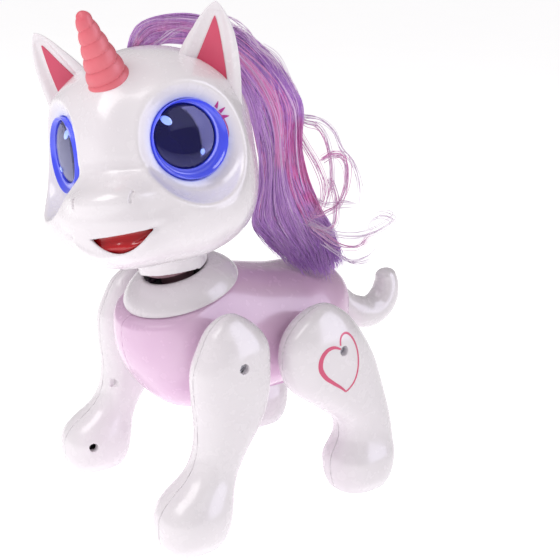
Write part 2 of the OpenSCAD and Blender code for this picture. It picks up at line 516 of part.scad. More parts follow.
// sole: plate with a wheel slot and two ears that carry the axle
module sole(w, T) {
  a = T[0];
  difference() {
    union() {
      translate([0, 0, 1.4]) linear_extrude(2.6) polygon([for (j = [0 : 47]) let (t = 7.5 * j, e = 2 / 2.4)
        [a[4] + (a[3] - leg_wall - 0.25) * sign(cos(t)) * pow(abs(cos(t)), e), a[1] + (a[2] - leg_wall - 0.25) * sign(sin(t)) * pow(abs(sin(t)), e)]]);
      translate([w[0] - 8.6, w[1] - 3, 3]) cube([2.4, 6, 9.4]);
      translate([w[0] + 6.2, w[1] - 3, 3]) cube([2.4, 6, 9.4]);
    }
    translate([w[0] - 5.8, w[1] - 10.2, 0]) cube([11.6, 20.4, 6]);
    translate([w[0] - 20, w[1], wheel_r]) rotate([0, 90, 0]) cylinder(r = 1.5 + run, h = 40, $fn = 48);
  }
}
module free_wheel(w) {
  translate([w[0], w[1], wheel_r]) rotate([0, 90, 0]) {
    rotate_extrude($fn = 72) polygon([[0, -4.5], [7.6, -4.5], [wheel_r, -3.4], [wheel_r, 3.4], [7.6, 4.5], [0, 4.5]]);
    translate([0, 0, -9]) cylinder(r = 1.5, h = 18, $fn = 48);
  }
}
DM = 0.6;
DZ = 24;
DP = 12;
DC = DM * (DZ + DP) / 2 + 0.1;
module drive_wheel(w) {
  translate([w[0], w[1], wheel_r]) rotate([0, 90, 0]) {
    rotate_extrude($fn = 72) polygon([[0, -4.5], [8.2, -4.5], [8.2, -4.1], [7.2, -4.1], [7.2, 1.3], [8.2, 1.3], [8.2, 1.7], [0, 1.7]]);
    translate([0, 0, -9]) cylinder(r = 1.5, h = 18, $fn = 48);
    translate([0, 0, 1.7]) linear_extrude(3) polygon(gear_pts(DZ, DM, 180));
  }
}
module drive_tyre(w) {
  translate([w[0], w[1], wheel_r]) rotate([0, 90, 0])
    rotate_extrude($fn = 72) polygon([[7.25, -4.05], [8.6, -4.05], [wheel_r, -3], [wheel_r, 0.4], [8.6, 1.25], [7.25, 1.25]]);
}
module drive_pinion(w) {
  translate([w[0], w[1], wheel_r + DC]) rotate([0, 90, 0]) {
    translate([0, 0, 1.7]) linear_extrude(3) polygon(gear_pts(DP, DM, 180 / DP));
    translate([0, 0, 4.7]) cylinder(r = 1, h = 4.5, $fn = 32);
  }
}
module drive_motor(w) {
  translate([w[0], w[1], wheel_r + DC]) rotate([0, 90, 0]) difference() {
    translate([0, 0, 5.6]) cylinder(r = 6, h = 9, $fn = 48);
    translate([0, 0, 5]) cylinder(r = 1 + run, h = 5, $fn = 48);
  }
}
module hip_screw(hip) {
  translate([50.6, hip[0], hip[1]]) rotate([0, 90, 0]) cylinder(r = 1.25, h = 10, $fn = 32);
  translate([60.4, hip[0], hip[1]]) rotate([0, 90, 0]) cylinder(r = 2.5, h = 1.8, $fn = 32);
}

module front_left_leg_outer() { color(WHITE) leg_outer(FLEG, FTOP, FHIP); }
module front_left_leg_inner() { color(WHITE) leg_inner(FLEG, FTOP, FHIP); }
module front_left_sole() { color(GREY) sole(FWHEEL, FLEG); }
module front_left_wheel() { color(DARK) free_wheel(FWHEEL); }
module front_left_screws() { color(STEEL) hip_screw(FHIP); }
module front_right_leg_outer() { color(WHITE) right() leg_outer(FLEG, FTOP, FHIP); }
module front_right_leg_inner() { color(WHITE) right() leg_inner(FLEG, FTOP, FHIP); }
module front_right_sole() { color(GREY) right() sole(FWHEEL, FLEG); }
module front_right_wheel() { color(DARK) right() free_wheel(FWHEEL); }
module front_right_screws() { color(STEEL) right() hip_screw(FHIP); }
module rear_left_leg_outer() { color(WHITE) leg_outer(RLEG, RTOP, RHIP); }
module rear_left_leg_inner() { color(WHITE) leg_inner(RLEG, RTOP, RHIP); }
module rear_left_sole() { color(GREY) sole(RWHEEL, RLEG); }
module rear_left_wheel() { color(WHITE) drive_wheel(RWHEEL); }
module rear_left_tyre() { color(DARK) drive_tyre(RWHEEL); }
module rear_left_motor() { color(STEEL) drive_motor(RWHEEL); }
module rear_left_pinion() { color(WHITE) drive_pinion(RWHEEL); }
module rear_right_leg_outer() { color(WHITE) right() leg_outer(RLEG, RTOP, RHIP); }
module rear_right_leg_inner() { color(WHITE) right() leg_inner(RLEG, RTOP, RHIP); }
module rear_right_sole() { color(GREY) right() sole(RWHEEL, RLEG); }
module rear_right_wheel() { color(WHITE) right() drive_wheel(RWHEEL); }
module rear_right_tyre() { color(DARK) right() drive_tyre(RWHEEL); }
module rear_right_motor() { color(STEEL) right() drive_motor(RWHEEL); }
module rear_right_pinion() { color(WHITE) right() drive_pinion(RWHEEL); }
module rear_left_screws() { color(STEEL) hip_screw(RHIP); }
module rear_right_screws() { color(STEEL) right() hip_screw(RHIP); }

face_shell();
head_back_shell();
horn();
ear_left();
ear_right();
ear_inserts();
eye_ring_left();
eye_ring_right();
pupil_left();
pupil_right();
eye_lens_left();
eye_lens_right();
eye_led_boards();
mouth_insert();
mane();
hair_plug();
neck_post();
neck_gear();
body_left_shell();
body_right_shell();
neck_collar();
neck_bearing();
neck_motor();
neck_pinion();
main_board();
battery_pack();
battery_door();
body_screws();
speaker();
charge_socket();
power_switch_knob();
hip_axles();
tail();
front_left_leg_outer();
front_left_leg_inner();
front_left_sole();
front_left_wheel();
front_left_screws();
front_right_leg_outer();
front_right_leg_inner();
front_right_sole();
front_right_wheel();
front_right_screws();
rear_left_leg_outer();
rear_left_leg_inner();
rear_left_sole();
rear_left_wheel();
rear_left_tyre();
rear_left_motor();
rear_left_pinion();
rear_left_screws();
rear_right_leg_outer();
rear_right_leg_inner();
rear_right_sole();
rear_right_wheel();
rear_right_tyre();
rear_right_motor();
rear_right_pinion();
rear_right_screws();
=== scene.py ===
import math
import bpy
import numpy as np
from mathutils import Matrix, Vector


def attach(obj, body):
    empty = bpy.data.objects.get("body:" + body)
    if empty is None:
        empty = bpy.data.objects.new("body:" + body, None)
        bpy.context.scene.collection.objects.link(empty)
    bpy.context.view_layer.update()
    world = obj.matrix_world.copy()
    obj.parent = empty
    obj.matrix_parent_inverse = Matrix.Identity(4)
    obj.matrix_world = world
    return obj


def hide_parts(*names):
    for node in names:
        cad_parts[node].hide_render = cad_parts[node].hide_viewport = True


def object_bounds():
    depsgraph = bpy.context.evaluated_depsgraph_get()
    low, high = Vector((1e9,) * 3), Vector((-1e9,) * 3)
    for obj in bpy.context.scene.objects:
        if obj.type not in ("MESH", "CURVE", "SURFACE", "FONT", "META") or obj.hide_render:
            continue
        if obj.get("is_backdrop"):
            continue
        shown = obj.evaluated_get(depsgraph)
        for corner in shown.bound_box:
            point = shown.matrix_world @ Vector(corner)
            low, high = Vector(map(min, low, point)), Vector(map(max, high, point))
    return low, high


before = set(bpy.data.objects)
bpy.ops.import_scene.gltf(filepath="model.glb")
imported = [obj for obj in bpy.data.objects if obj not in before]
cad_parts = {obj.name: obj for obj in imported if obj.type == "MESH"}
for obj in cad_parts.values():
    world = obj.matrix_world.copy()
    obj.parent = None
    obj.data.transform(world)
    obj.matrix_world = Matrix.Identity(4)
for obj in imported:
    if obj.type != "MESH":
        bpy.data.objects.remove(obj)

import openvdb as vdb
from mathutils import Matrix, Vector

CAD_LO, CAD_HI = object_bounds()
rng = np.random.default_rng(7)
MM = 0.001
scene = bpy.context.scene

# ------------------------------------------------------------------ camera
CAM_AZ, CAM_EL, CAM_ROLL, CAM_D = map(math.radians, (53.6, 17.4, 1.2, 0)); CAM_D = 592.0
CAM_T = np.array([22.8, 17.6, 125.6])
_b = np.array([math.sin(CAM_AZ) * math.cos(CAM_EL), -math.cos(CAM_AZ) * math.cos(CAM_EL), math.sin(CAM_EL)])
_r = np.array([math.cos(CAM_AZ), math.sin(CAM_AZ), 0.0]); _u = np.cross(_b, _r)
_r2 = _r * math.cos(CAM_ROLL) + _u * math.sin(CAM_ROLL)
_u2 = -_r * math.sin(CAM_ROLL) + _u * math.cos(CAM_ROLL)
cam = bpy.data.objects.new("Camera", bpy.data.cameras.new("Camera"))
scene.collection.objects.link(cam)
_c = (CAM_T + CAM_D * _b) * MM
cam.matrix_world = Matrix([[_r2[0], _u2[0], _b[0], _c[0]], [_r2[1], _u2[1], _b[1], _c[1]], [_r2[2], _u2[2], _b[2], _c[2]], [0, 0, 0, 1]])
cam.data.sensor_width = 36.0
cam.data.lens = 1055.0 / 560.0 * 36.0
cam.data.clip_start, cam.data.clip_end = 0.01, 80.0
scene.camera = cam

# ------------------------------------------------------------------ frame numbers, in mm, as the CAD has them
HEAD_TURN, LEAN = math.radians(38), math.radians(18)
NECK = np.array([0, -39.5, 143.5])
AX = np.array([0, -math.sin(LEAN), math.cos(LEAN)])
EB = np.array([0, math.cos(LEAN), math.sin(LEAN)])


def rot_axis(ax, a):
    ax = ax / np.linalg.norm(ax)
    k = np.array([[0, -ax[2], ax[1]], [ax[2], 0, -ax[0]], [-ax[1], ax[0], 0]])
    return np.eye(3) + math.sin(a) * k + (1 - math.cos(a)) * k @ k


RT = rot_axis(AX, HEAD_TURN)


def turned(p):
    """head-local mm to the row frame, mm"""
    return (np.asarray(p, float) - NECK) @ RT.T + NECK


def unit(v):
    v = np.asarray(v, float)
    return v / np.linalg.norm(v)


def mirror(p):
    q = np.array(p, float); q[..., 0] *= -1
    return q


# ------------------------------------------------------------------ mesh helpers
def make_mesh(name, V, faces):
    me = bpy.data.meshes.new(name)
    V = np.ascontiguousarray(np.asarray(V, float) * MM, np.float32)
    faces = [np.asarray(f, np.int32) for f in faces if len(f)]
    me.vertices.add(len(V)); me.vertices.foreach_set("co", V.ravel())
    idx = np.concatenate([f.ravel() for f in faces])
    sizes = np.concatenate([np.full(len(f), f.shape[1], np.int32) for f in faces])
    me.loops.add(len(idx)); me.loops.foreach_set("vertex_index", idx)
    me.polygons.add(len(sizes))
    me.polygons.foreach_set("loop_start", np.concatenate([[0], np.cumsum(sizes)[:-1]]).astype(np.int32))
    me.update(calc_edges=True)
    if me.validate():
        print('mesh', name, 'had faults')
    return me


def outward(me):
    """turns the faces so that the closed mesh has a positive volume"""
    import bmesh
    bm = bmesh.new(); bm.from_mesh(me)
    bmesh.ops.recalc_face_normals(bm, faces=bm.faces[:])
    if bm.calc_volume(signed=True) < 0:
        bmesh.ops.reverse_faces(bm, faces=bm.faces[:])
    bm.to_mesh(me); bm.free()


def flip_if_inside_out(me):
    n = len(me.vertices); co = np.empty(n * 3, np.float32); me.vertices.foreach_get("co", co); co = co.reshape(-1, 3).astype(float)
    me.calc_loop_triangles()
    t = np.empty(len(me.loop_triangles) * 3, np.int32); me.loop_triangles.foreach_get("vertices", t); t = t.reshape(-1, 3)
    vol = np.einsum("ij,ij->i", co[t[:, 0]], np.cross(co[t[:, 1]], co[t[:, 2]])).sum() / 6
    if vol < 0:
        me.flip_normals()


def smooth(me, angle=None):
    me.polygons.foreach_set("use_smooth", np.ones(len(me.polygons), bool))
    if angle is not None:
        me.set_sharp_from_angle(angle=math.radians(angle))


def place(name, me, mat, body, nodes=()):
    me.name = name
    ob = bpy.data.objects.new(name, me)
    scene.collection.objects.link(ob)
    me.materials.clear(); me.materials.append(mat)
    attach(ob, body)
    if nodes:
        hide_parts(*nodes)
    return ob


def strip(rings, wrap=True, cap0=None, cap1=None):
    """rings: (m, n, 3); closes with a point at each end where given"""
    rings = np.asarray(rings, float); m, n, _ = rings.shape
    V = [rings.reshape(-1, 3)]; F4 = []; F3 = []
    i, j = np.meshgrid(np.arange(m - 1), np.arange(n if wrap else n - 1), indexing="ij")
    a = i * n + j; b = i * n + (j + 1) % n
    F4.append(np.stack([a, b, b + n, a + n], -1).reshape(-1, 4))
    k = m * n
    if cap0 is not None:
        V.append(np.asarray(cap0, float).reshape(1, 3)); jj = np.arange(n)
        F3.append(np.stack([(jj + 1) % n, jj, np.full(n, k)], -1)); k += 1
    if cap1 is not None:
        V.append(np.asarray(cap1, float).reshape(1, 3)); jj = np.arange(n); o = (m - 1) * n
        F3.append(np.stack([o + jj, o + (jj + 1) % n, np.full(n, k)], -1)); k += 1
    return np.concatenate(V), [np.concatenate(F4)] + ([np.concatenate(F3)] if F3 else [])


def torus_like(rings):
    """rings: (m, n, 3), closed both ways"""
    rings = np.asarray(rings, float); m, n, _ = rings.shape
    i, j = np.meshgrid(np.arange(m), np.arange(n), indexing="ij")
    a = i * n + j; b = i * n + (j + 1) % n; c = ((i + 1) % m) * n + (j + 1) % n; d = ((i + 1) % m) * n + j
    return rings.reshape(-1, 3), [np.stack([a, b, c, d], -1).reshape(-1, 4)]


# ------------------------------------------------------------------ implicit forms, all in mm
F32 = np.float32


def ell(p, c, r):
    q = p - np.array(c, F32); r = np.array(r, F32)
    a = q / r
    k0 = np.sqrt(np.einsum("ij,ij->i", a, a)); a /= r
    k1 = np.sqrt(np.einsum("ij,ij->i", a, a)) + F32(1e-9)
    return k0 * (k0 - 1) / k1


def smin(a, b, k):
    h = np.clip(0.5 + 0.5 * (b - a) / k, 0, 1)
    return b * (1 - h) + a * h - k * h * (1 - h)


def smax(a, b, k):
    return -smin(-a, -b, k)


def cyl(p, c, ax, r, h0, h1, rd=0.0):
    v = p - np.array(c, F32); s = v @ np.array(ax, F32)
    rad = np.sqrt(np.maximum(np.einsum("ij,ij->i", v, v) - s * s, 0))
    dx = rad - (r - rd); dy = np.abs(s - (h0 + h1) / 2) - ((h1 - h0) / 2 - rd)
    return np.minimum(np.maximum(dx, dy), 0) + np.sqrt(np.maximum(dx, 0) ** 2 + np.maximum(dy, 0) ** 2) - rd


def seg(p, a, b):
    a = np.array(a, F32); b = np.array(b, F32); ba = b - a
    t = np.clip(((p - a) @ ba) / (ba @ ba), 0, 1)
    d = p - a - t[:, None] * ba
    return np.sqrt(np.einsum("ij,ij->i", d, d)), t


def boxf(p, lo, hi, rd=0.0):
    lo = np.array(lo, F32); hi = np.array(hi, F32)
    q = np.abs(p - (lo + hi) / 2) - ((hi - lo) / 2 - rd)
    return np.sqrt((np.maximum(q, 0) ** 2).sum(1)) + np.minimum(q.max(1), 0) - rd


def grad(f, p, e=0.05):
    g = np.empty_like(p)
    for k in range(3):
        d = np.zeros(3, p.dtype); d[k] = e
        g[:, k] = f(p + d) - f(p - d)
    n = np.linalg.norm(g, axis=1, keepdims=True)
    return g / (2 * e), n / (2 * e)


def sdf_mesh(f, lo, hi, h, base=None, skin=None, keep=3.0):
    """meshes f = 0 inside the box. base is the plain solid that f is cut from; with skin only the band that deep is looked at."""
    base = base or f
    lo = np.array(lo, float); hi = np.array(hi, float)
    n = np.ceil((hi - lo) / h).astype(int) + 1
    cs = 4
    nc = (n + cs - 1) // cs + 1
    ax = [lo[k] + np.arange(nc[k]) * h * cs for k in range(3)]
    g = np.stack(np.meshgrid(*ax, indexing="ij"), -1).reshape(-1, 3).astype(F32)
    up = base(g).reshape(nc).astype(F32)
    for k in range(3):
        t = np.arange(n[k]) / cs
        i = np.minimum(t.astype(int), nc[k] - 2); w = (t - i).astype(F32)
        a = np.take(up, i, axis=k); b = np.take(up, i + 1, axis=k)
        sh = [1, 1, 1]; sh[k] = -1
        up = a + (b - a) * w.reshape(sh)
    lowest = -(skin or 0.0) - keep
    m = (up < keep) & (up > lowest)
    ijk = np.argwhere(m)
    full = np.clip(up, -keep, keep)
    if skin is not None:
        full[up <= lowest] = keep
    vals = np.empty(len(ijk), F32)
    for s in range(0, len(ijk), 300000):
        vals[s:s + 300000] = f((lo + ijk[s:s + 300000] * h).astype(F32))
    full[m] = np.clip(vals, -keep, keep)
    gr = vdb.FloatGrid(); gr.background = float(keep)
    gr.copyFromArray(np.ascontiguousarray(full, F32))
    gr.transform = vdb.createLinearTransform(voxelSize=h)
    pts, tris, quads = gr.convertToPolygons(isovalue=0.0, adaptivity=0.0)
    return np.asarray(pts, float) + lo, np.asarray(tris), np.asarray(quads)


def settle(V, f, steps=3, cap=0.5):
    p = V.astype(np.float64)
    for _ in range(steps):
        d = f(p)
        g, n = grad(f, p, 0.06)
        mv = -(d[:, None] * g) / np.maximum(n, 0.3) ** 2
        ln = np.linalg.norm(mv, axis=1, keepdims=True)
        mv *= np.minimum(1, cap / np.maximum(ln, 1e-9))
        p = p + mv
    return p


def shade_by_field(me, f, P, turn=None, lim=0.55):
    """custom normals from the field, or the face's own normal where the two disagree, as at a cut edge"""
    g, n = grad(f, P, 0.08)
    g = g / np.maximum(np.linalg.norm(g, axis=1, keepdims=True), 1e-9)
    if turn is not None:
        g = g @ turn.T
    nl = len(me.loops); vi = np.empty(nl, np.int32); me.loops.foreach_get("vertex_index", vi)
    npo = len(me.polygons); pn = np.empty(npo * 3, np.float32); me.polygons.foreach_get("normal", pn); pn = pn.reshape(-1, 3)
    tot = np.empty(npo, np.int32); me.polygons.foreach_get("loop_total", tot)
    pl = np.repeat(pn, tot, axis=0)
    ln = g[vi]
    ar = np.empty(npo, np.float32); me.polygons.foreach_get("area", ar)
    bad = (np.einsum("ij,ij->i", ln, pl) < lim) & (np.repeat(ar, tot) > 0.12 * np.median(ar))
    ln[bad] = pl[bad]
    me.polygons.foreach_set("use_smooth", np.ones(npo, bool))
    me.normals_split_custom_set(ln.astype(np.float32))


def sdf_piece(name, f, lo, hi, h, base=None, skin=None, to_row=None, shade=None, steps=3, lim=0.55):
    """a closed mesh of f = 0 with its vertices moved onto the exact surface and its shading taken from the field"""
    V, tris, quads = sdf_mesh(f, lo, hi, h, base, skin)
    P = settle(V, f, steps)
    W = to_row(P) if to_row is not None else P
    me = make_mesh(name, W, [quads, tris] if len(tris) else [quads])
    flip_if_inside_out(me)
    shade_by_field(me, shade or f, P, RT if to_row is not None else None, lim)
    return me


# ------------------------------------------------------------------ node materials
def new_mat(name):
    m = bpy.data.materials.new(name); m.use_nodes = True
    nt = m.node_tree; nt.nodes.clear()
    out = nt.nodes.new("ShaderNodeOutputMaterial"); p = nt.nodes.new("ShaderNodeBsdfPrincipled")
    nt.links.new(p.outputs[0], out.inputs["Surface"])
    return m, nt, p


def srgb(*c):
    c = np.array(c, float) / 255.0
    return tuple(np.where(c <= 0.04045, c / 12.92, ((c + 0.055) / 1.055) ** 2.4)) + (1.0,)


def noise(nt, scale, detail=3.0, rough=0.5, coord=None, dist=0.0, scale3=None):
    tc = nt.nodes.new("ShaderNodeTexCoord")
    src = coord or tc.outputs["Object"]
    if scale3 is not None:
        mp = nt.nodes.new("ShaderNodeMapping"); mp.inputs["Scale"].default_value = scale3
        nt.links.new(src, mp.inputs["Vector"]); src = mp.outputs[0]
    n = nt.nodes.new("ShaderNodeTexNoise")
    n.inputs["Scale"].default_value = scale; n.inputs["Detail"].default_value = detail
    n.inputs["Roughness"].default_value = rough; n.inputs["Distortion"].default_value = dist
    nt.links.new(src, n.inputs["Vector"])
    return n.outputs["Fac"]


def ramp(nt, fac, stops, interp="EASE"):
    r = nt.nodes.new("ShaderNodeValToRGB"); r.color_ramp.interpolation = interp
    e = r.color_ramp.elements
    while len(e) < len(stops):
        e.new(0.5)
    for k, (t, c) in enumerate(stops):
        e[k].position = t; e[k].color = c
    nt.links.new(fac, r.inputs[0])
    return r.outputs[0]


def map_range(nt, v, a, b, c, d, kind="SMOOTHSTEP"):
    m = nt.nodes.new("ShaderNodeMapRange"); m.interpolation_type = kind
    for k, x in zip((1, 2, 3, 4), (a, b, c, d)):
        m.inputs[k].default_value = x
    nt.links.new(v, m.inputs[0])
    return m.outputs[0]


def math_node(nt, op, a, b=None, clamp=False):
    m = nt.nodes.new("ShaderNodeMath"); m.operation = op; m.use_clamp = clamp
    for k, x in enumerate((a, b)):
        if x is None:
            continue
        if isinstance(x, (int, float)):
            m.inputs[k].default_value = x
        else:
            nt.links.new(x, m.inputs[k])
    return m.outputs[0]


def mix(nt, fac, a, b, blend="MIX"):
    m = nt.nodes.new("ShaderNodeMix"); m.data_type = "RGBA"; m.blend_type = blend
    for sock, x in ((m.inputs[0], fac), (m.inputs[6], a), (m.inputs[7], b)):
        if isinstance(x, (tuple, list)):
            sock.default_value = x
        elif isinstance(x, (int, float)):
            sock.default_value = x
        else:
            nt.links.new(x, sock)
    return m.outputs[2]


def bump(nt, h, strength, dist, p, base=None):
    b = nt.nodes.new("ShaderNodeBump"); b.inputs["Strength"].default_value = strength; b.inputs["Distance"].default_value = dist
    nt.links.new(h, b.inputs["Height"])
    if base is not None:
        nt.links.new(base, b.inputs["Normal"])
    nt.links.new(b.outputs[0], p.inputs["Normal"])
    return b.outputs[0]


def radial(nt, P, N):
    """distance from the line through P along N, in metres, and the distance along it, for a surface point"""
    tc = nt.nodes.new("ShaderNodeTexCoord")
    s = nt.nodes.new("ShaderNodeVectorMath"); s.operation = "SUBTRACT"; s.inputs[1].default_value = tuple(np.asarray(P) * MM)
    nt.links.new(tc.outputs["Object"], s.inputs[0])
    d = nt.nodes.new("ShaderNodeVectorMath"); d.operation = "DOT_PRODUCT"; d.inputs[1].default_value = tuple(N)
    nt.links.new(s.outputs[0], d.inputs[0])
    ll = nt.nodes.new("ShaderNodeVectorMath"); ll.operation = "DOT_PRODUCT"
    nt.links.new(s.outputs[0], ll.inputs[0]); nt.links.new(s.outputs[0], ll.inputs[1])
    sq = math_node(nt, "MULTIPLY", d.outputs["Value"], d.outputs["Value"])
    r2 = math_node(nt, "MAXIMUM", math_node(nt, "SUBTRACT", ll.outputs["Value"], sq), 0.0)
    return math_node(nt, "SQRT", r2), d.outputs["Value"]


def along_axis(nt, P, N):
    tc = nt.nodes.new("ShaderNodeTexCoord")
    s = nt.nodes.new("ShaderNodeVectorMath"); s.operation = "SUBTRACT"; s.inputs[1].default_value = tuple(np.asarray(P) * MM)
    nt.links.new(tc.outputs["Object"], s.inputs[0])
    d = nt.nodes.new("ShaderNodeVectorMath"); d.operation = "DOT_PRODUCT"; d.inputs[1].default_value = tuple(N)
    nt.links.new(s.outputs[0], d.inputs[0])
    return d.outputs["Value"]


def plastic(name, a, b, r0=0.22, r1=0.32, coat=0.35, sss=0.0, sssr=(0.004, 0.003, 0.0035), bumps=0.03, scale=22.0, spec=0.5):
    m, nt, p = new_mat(name)
    n1 = noise(nt, scale, 3.0, 0.55)
    col = ramp(nt, n1, [(0.30, a), (0.72, b)])
    nt.links.new(col, p.inputs["Base Color"])
    n2 = noise(nt, 160.0, 2.0, 0.6)
    nt.links.new(map_range(nt, n2, 0.3, 0.7, r0, r1), p.inputs["Roughness"])
    n3 = noise(nt, 1400.0, 2.0, 0.5)
    bump(nt, n3, bumps, 0.0002, p)
    p.inputs["Coat Weight"].default_value = coat
    p.inputs["Coat Roughness"].default_value = 0.06
    p.inputs["Specular IOR Level"].default_value = spec
    if sss:
        p.inputs["Subsurface Weight"].default_value = sss
        p.inputs["Subsurface Radius"].default_value = (1.0, 0.8, 0.9)
        p.inputs["Subsurface Scale"].default_value = sssr[0]
    return m, nt, p, col


def metal(name, a, b, r0, r1, sc=300.0):
    m, nt, p = new_mat(name)
    col = ramp(nt, noise(nt, sc, 4.0, 0.6), [(0.3, a), (0.7, b)])
    nt.links.new(col, p.inputs["Base Color"])
    nt.links.new(map_range(nt, noise(nt, sc * 2, 3.0), 0.3, 0.7, r0, r1), p.inputs["Roughness"])
    p.inputs["Metallic"].default_value = 1.0
    bump(nt, noise(nt, 900.0, 2.0, 0.5, scale3=(1, 1, 8)), 0.05, 0.0001, p)
    return m

H = 0.7
W1, W2 = srgb(234, 228, 233), srgb(237, 232, 236)

white, nt, p, col = plastic("white_gloss", W1, W2, 0.20, 0.30, coat=0.35, bumps=0.0)
pink, nt, p, col = plastic("pink_gloss", srgb(226, 188, 220), srgb(233, 200, 227), 0.20, 0.28, coat=0.4, bumps=0.0)
coral, nt, p, col = plastic("coral_horn", srgb(226, 104, 118), srgb(234, 122, 132), 0.42, 0.55, coat=0.05, bumps=0.08)
ear_pink, nt, p, col = plastic("ear_pink", srgb(196, 58, 92), srgb(214, 74, 106), 0.35, 0.5, coat=0.1, bumps=0.08)
mouth_red, nt, p, col = plastic("mouth_red", srgb(186, 8, 22), srgb(204, 20, 32), 0.14, 0.22, coat=0.7, bumps=0.02)
grey_nylon, nt, p, col = plastic("grey_nylon", srgb(150, 150, 158), srgb(172, 172, 180), 0.35, 0.5, coat=0.05, bumps=0.1)
sole_grey, nt, p, col = plastic("sole_grey", srgb(196, 194, 202), srgb(214, 212, 218), 0.4, 0.55, coat=0.0, bumps=0.1)
dark_plastic, nt, p, col = plastic("dark_plastic", srgb(34, 30, 40), srgb(52, 48, 60), 0.3, 0.45, coat=0.1, bumps=0.08)
rubber, nt, p, col = plastic("tyre_rubber", srgb(24, 24, 28), srgb(44, 44, 50), 0.6, 0.8, coat=0.0, bumps=0.25)
battery_wrap, nt, p, col = plastic("battery_wrap", srgb(34, 62, 130), srgb(52, 84, 156), 0.3, 0.45, coat=0.2)
board_mat, nt, p, col = plastic("circuit_board", srgb(14, 84, 44), srgb(26, 108, 58), 0.3, 0.45, coat=0.2, bumps=0.15, scale=180.0)
steel = metal("steel", srgb(168, 170, 176), srgb(206, 208, 212), 0.22, 0.38)
print_pink, nt, p, col = plastic("print_pink", srgb(214, 74, 116), srgb(222, 88, 128), 0.3, 0.4, coat=0.2, bumps=0.03)
print_magenta, nt, p, col = plastic("print_magenta", srgb(178, 30, 132), srgb(196, 44, 148), 0.3, 0.4, coat=0.2, bumps=0.03)

# ------------------------------------------------------------------ head
EYE = np.array([35.0, -70, 205]); EN = unit([0.682, -0.731, 0.05])
E1 = unit([EN[1], -EN[0], 0]); E2 = np.cross(EN, E1)          # E1 towards the nose, E2 up or down
if E2[2] < 0:
    E2 = -E2
PUP = EYE + 2.4 * unit([EN[1], -EN[0], 0]) + np.array([0, 0, 2.0])
PUP = PUP - ((PUP - EYE) @ EN) * EN


def about(p, c, n):
    v = p - np.array(c, p.dtype); s = v @ np.array(n, p.dtype)
    return s, np.sqrt(np.maximum(np.einsum("ij,ij->i", v, v) - s * s, 0))


def mouth_cut(p, q):
    xs = p[:, 0] - 7.0; u = xs / 15.0
    zu = 165.9 + 0.7 * u; zl = zu - 8.9 * (1 - np.abs(u) ** 2.0)
    return np.maximum(np.maximum((q[:, 2] - zu) * 0.95, (zl - q[:, 2]) * 0.85), q[:, 1] + 88.0)


def head_core(p):
    q = p.copy(); q[:, 0] = np.abs(q[:, 0]); x, y, z = q.T
    d = ell(q, (0, -40, 211), (54, 50, 44)); d = smin(d, ell(q, (25, -50, 181), (32, 41, 31)), 16)
    d = smin(d, ell(q, (24, -58, 197), (32, 30, 40)), 9); d = smin(d, ell(q, (24, -57, 171), (30.5, 32, 24)), 9)
    s, rr = about(q, EYE, EN); e = np.maximum(rr - 20.5, 0)
    d = smax(d, (s - (-0.6 + 0.030 * e * e + 0.0006 * e ** 4)) / np.sqrt(1 + (0.06 * e + 0.0024 * e ** 3) ** 2), 3.5)
    d = smin(d, ell(q, (0, -70, 166), (36, 38, 21)), 14); d = smin(d, ell(q, (0, -68, 203), (16, 27, 34)), 14)
    sn = smin(ell(q, (0, -86, 181.5), (25, 25.5, 11)), ell(q, (0, -86, 172.5), (27, 24, 7.5)), 7); d = smin(d, sn, 8)
    d = smin(d, ell(q, (0, -82, 160), (25, 25.5, 13)), 6); d = smin(d, cyl(q, NECK, AX, 19, -7.0, 30, 1.5), 7)
    w, t = seg(q, (0, -96, 197), (17, -92, 196)); d = d + 1.1 * np.exp(-(w / 3.2) ** 2)
    w, t = seg(q, (22, -100, 167), (34, -88, 174)); d = d + (1 - t) * np.exp(-(w / 2.4) ** 2)
    u = np.clip(x / 24, 0, 1); zl = 156.0 + 9.5 * u ** 1.8
    d = d - 0.9 * np.exp(-((z - zl) / 1.9) ** 2) * np.clip((-y - 84) / 10, 0, 1) * np.clip((24 - x) / 6, 0, 1)
    w, t = seg(p, (-8, -106.5, 165.2), (-22, -98, 167)); d = d + 0.8 * np.exp(-(w / 1.1) ** 2)
    s, rr = about(p, NECK, AX)
    return d + 0.35 * np.exp(-((s - 7) / 0.6) ** 2) * (z < 165)


def head_shell(p):
    q = p.copy(); q[:, 0] = np.abs(q[:, 0])
    c0 = head_core(p)
    d = np.maximum(c0, -(c0 + 2.0))
    qq = q.copy(); qq[:, 1] = 0
    w, t = seg(qq, (15.9, 0, 185.0), (15.4, 0, 181.2)); d = smax(d, -np.maximum(np.maximum(w - 0.8, q[:, 1] + 94), -(c0 + 0.9)), 0.5)
    d = smax(d, -mouth_cut(p, q), 1.2)
    s, rr = about(q, EYE, EN)
    d = smax(d, -np.maximum(rr - 20.25, -(s + 10)), 0.7)
    s, rr = about(p, NECK, AX)
    return smax(d, -np.maximum(rr - 16.7, s - 8), 0.6)


HLO, HHI = (-62, -118, 136), (62, 16, 262)
face_f = lambda p: smax(head_shell(p), p[:, 1] + 35.07, 0.25)
back_f = lambda p: smax(head_shell(p), -(p[:, 1] + 34.93), 0.25)
face_me = sdf_piece("face_shell", face_f, HLO, (62, -33, 262), H, head_core, 2.0, turned)
back_me = sdf_piece("head_back_shell", back_f, (-62, -37, 136), HHI, H, head_core, 2.0, turned)

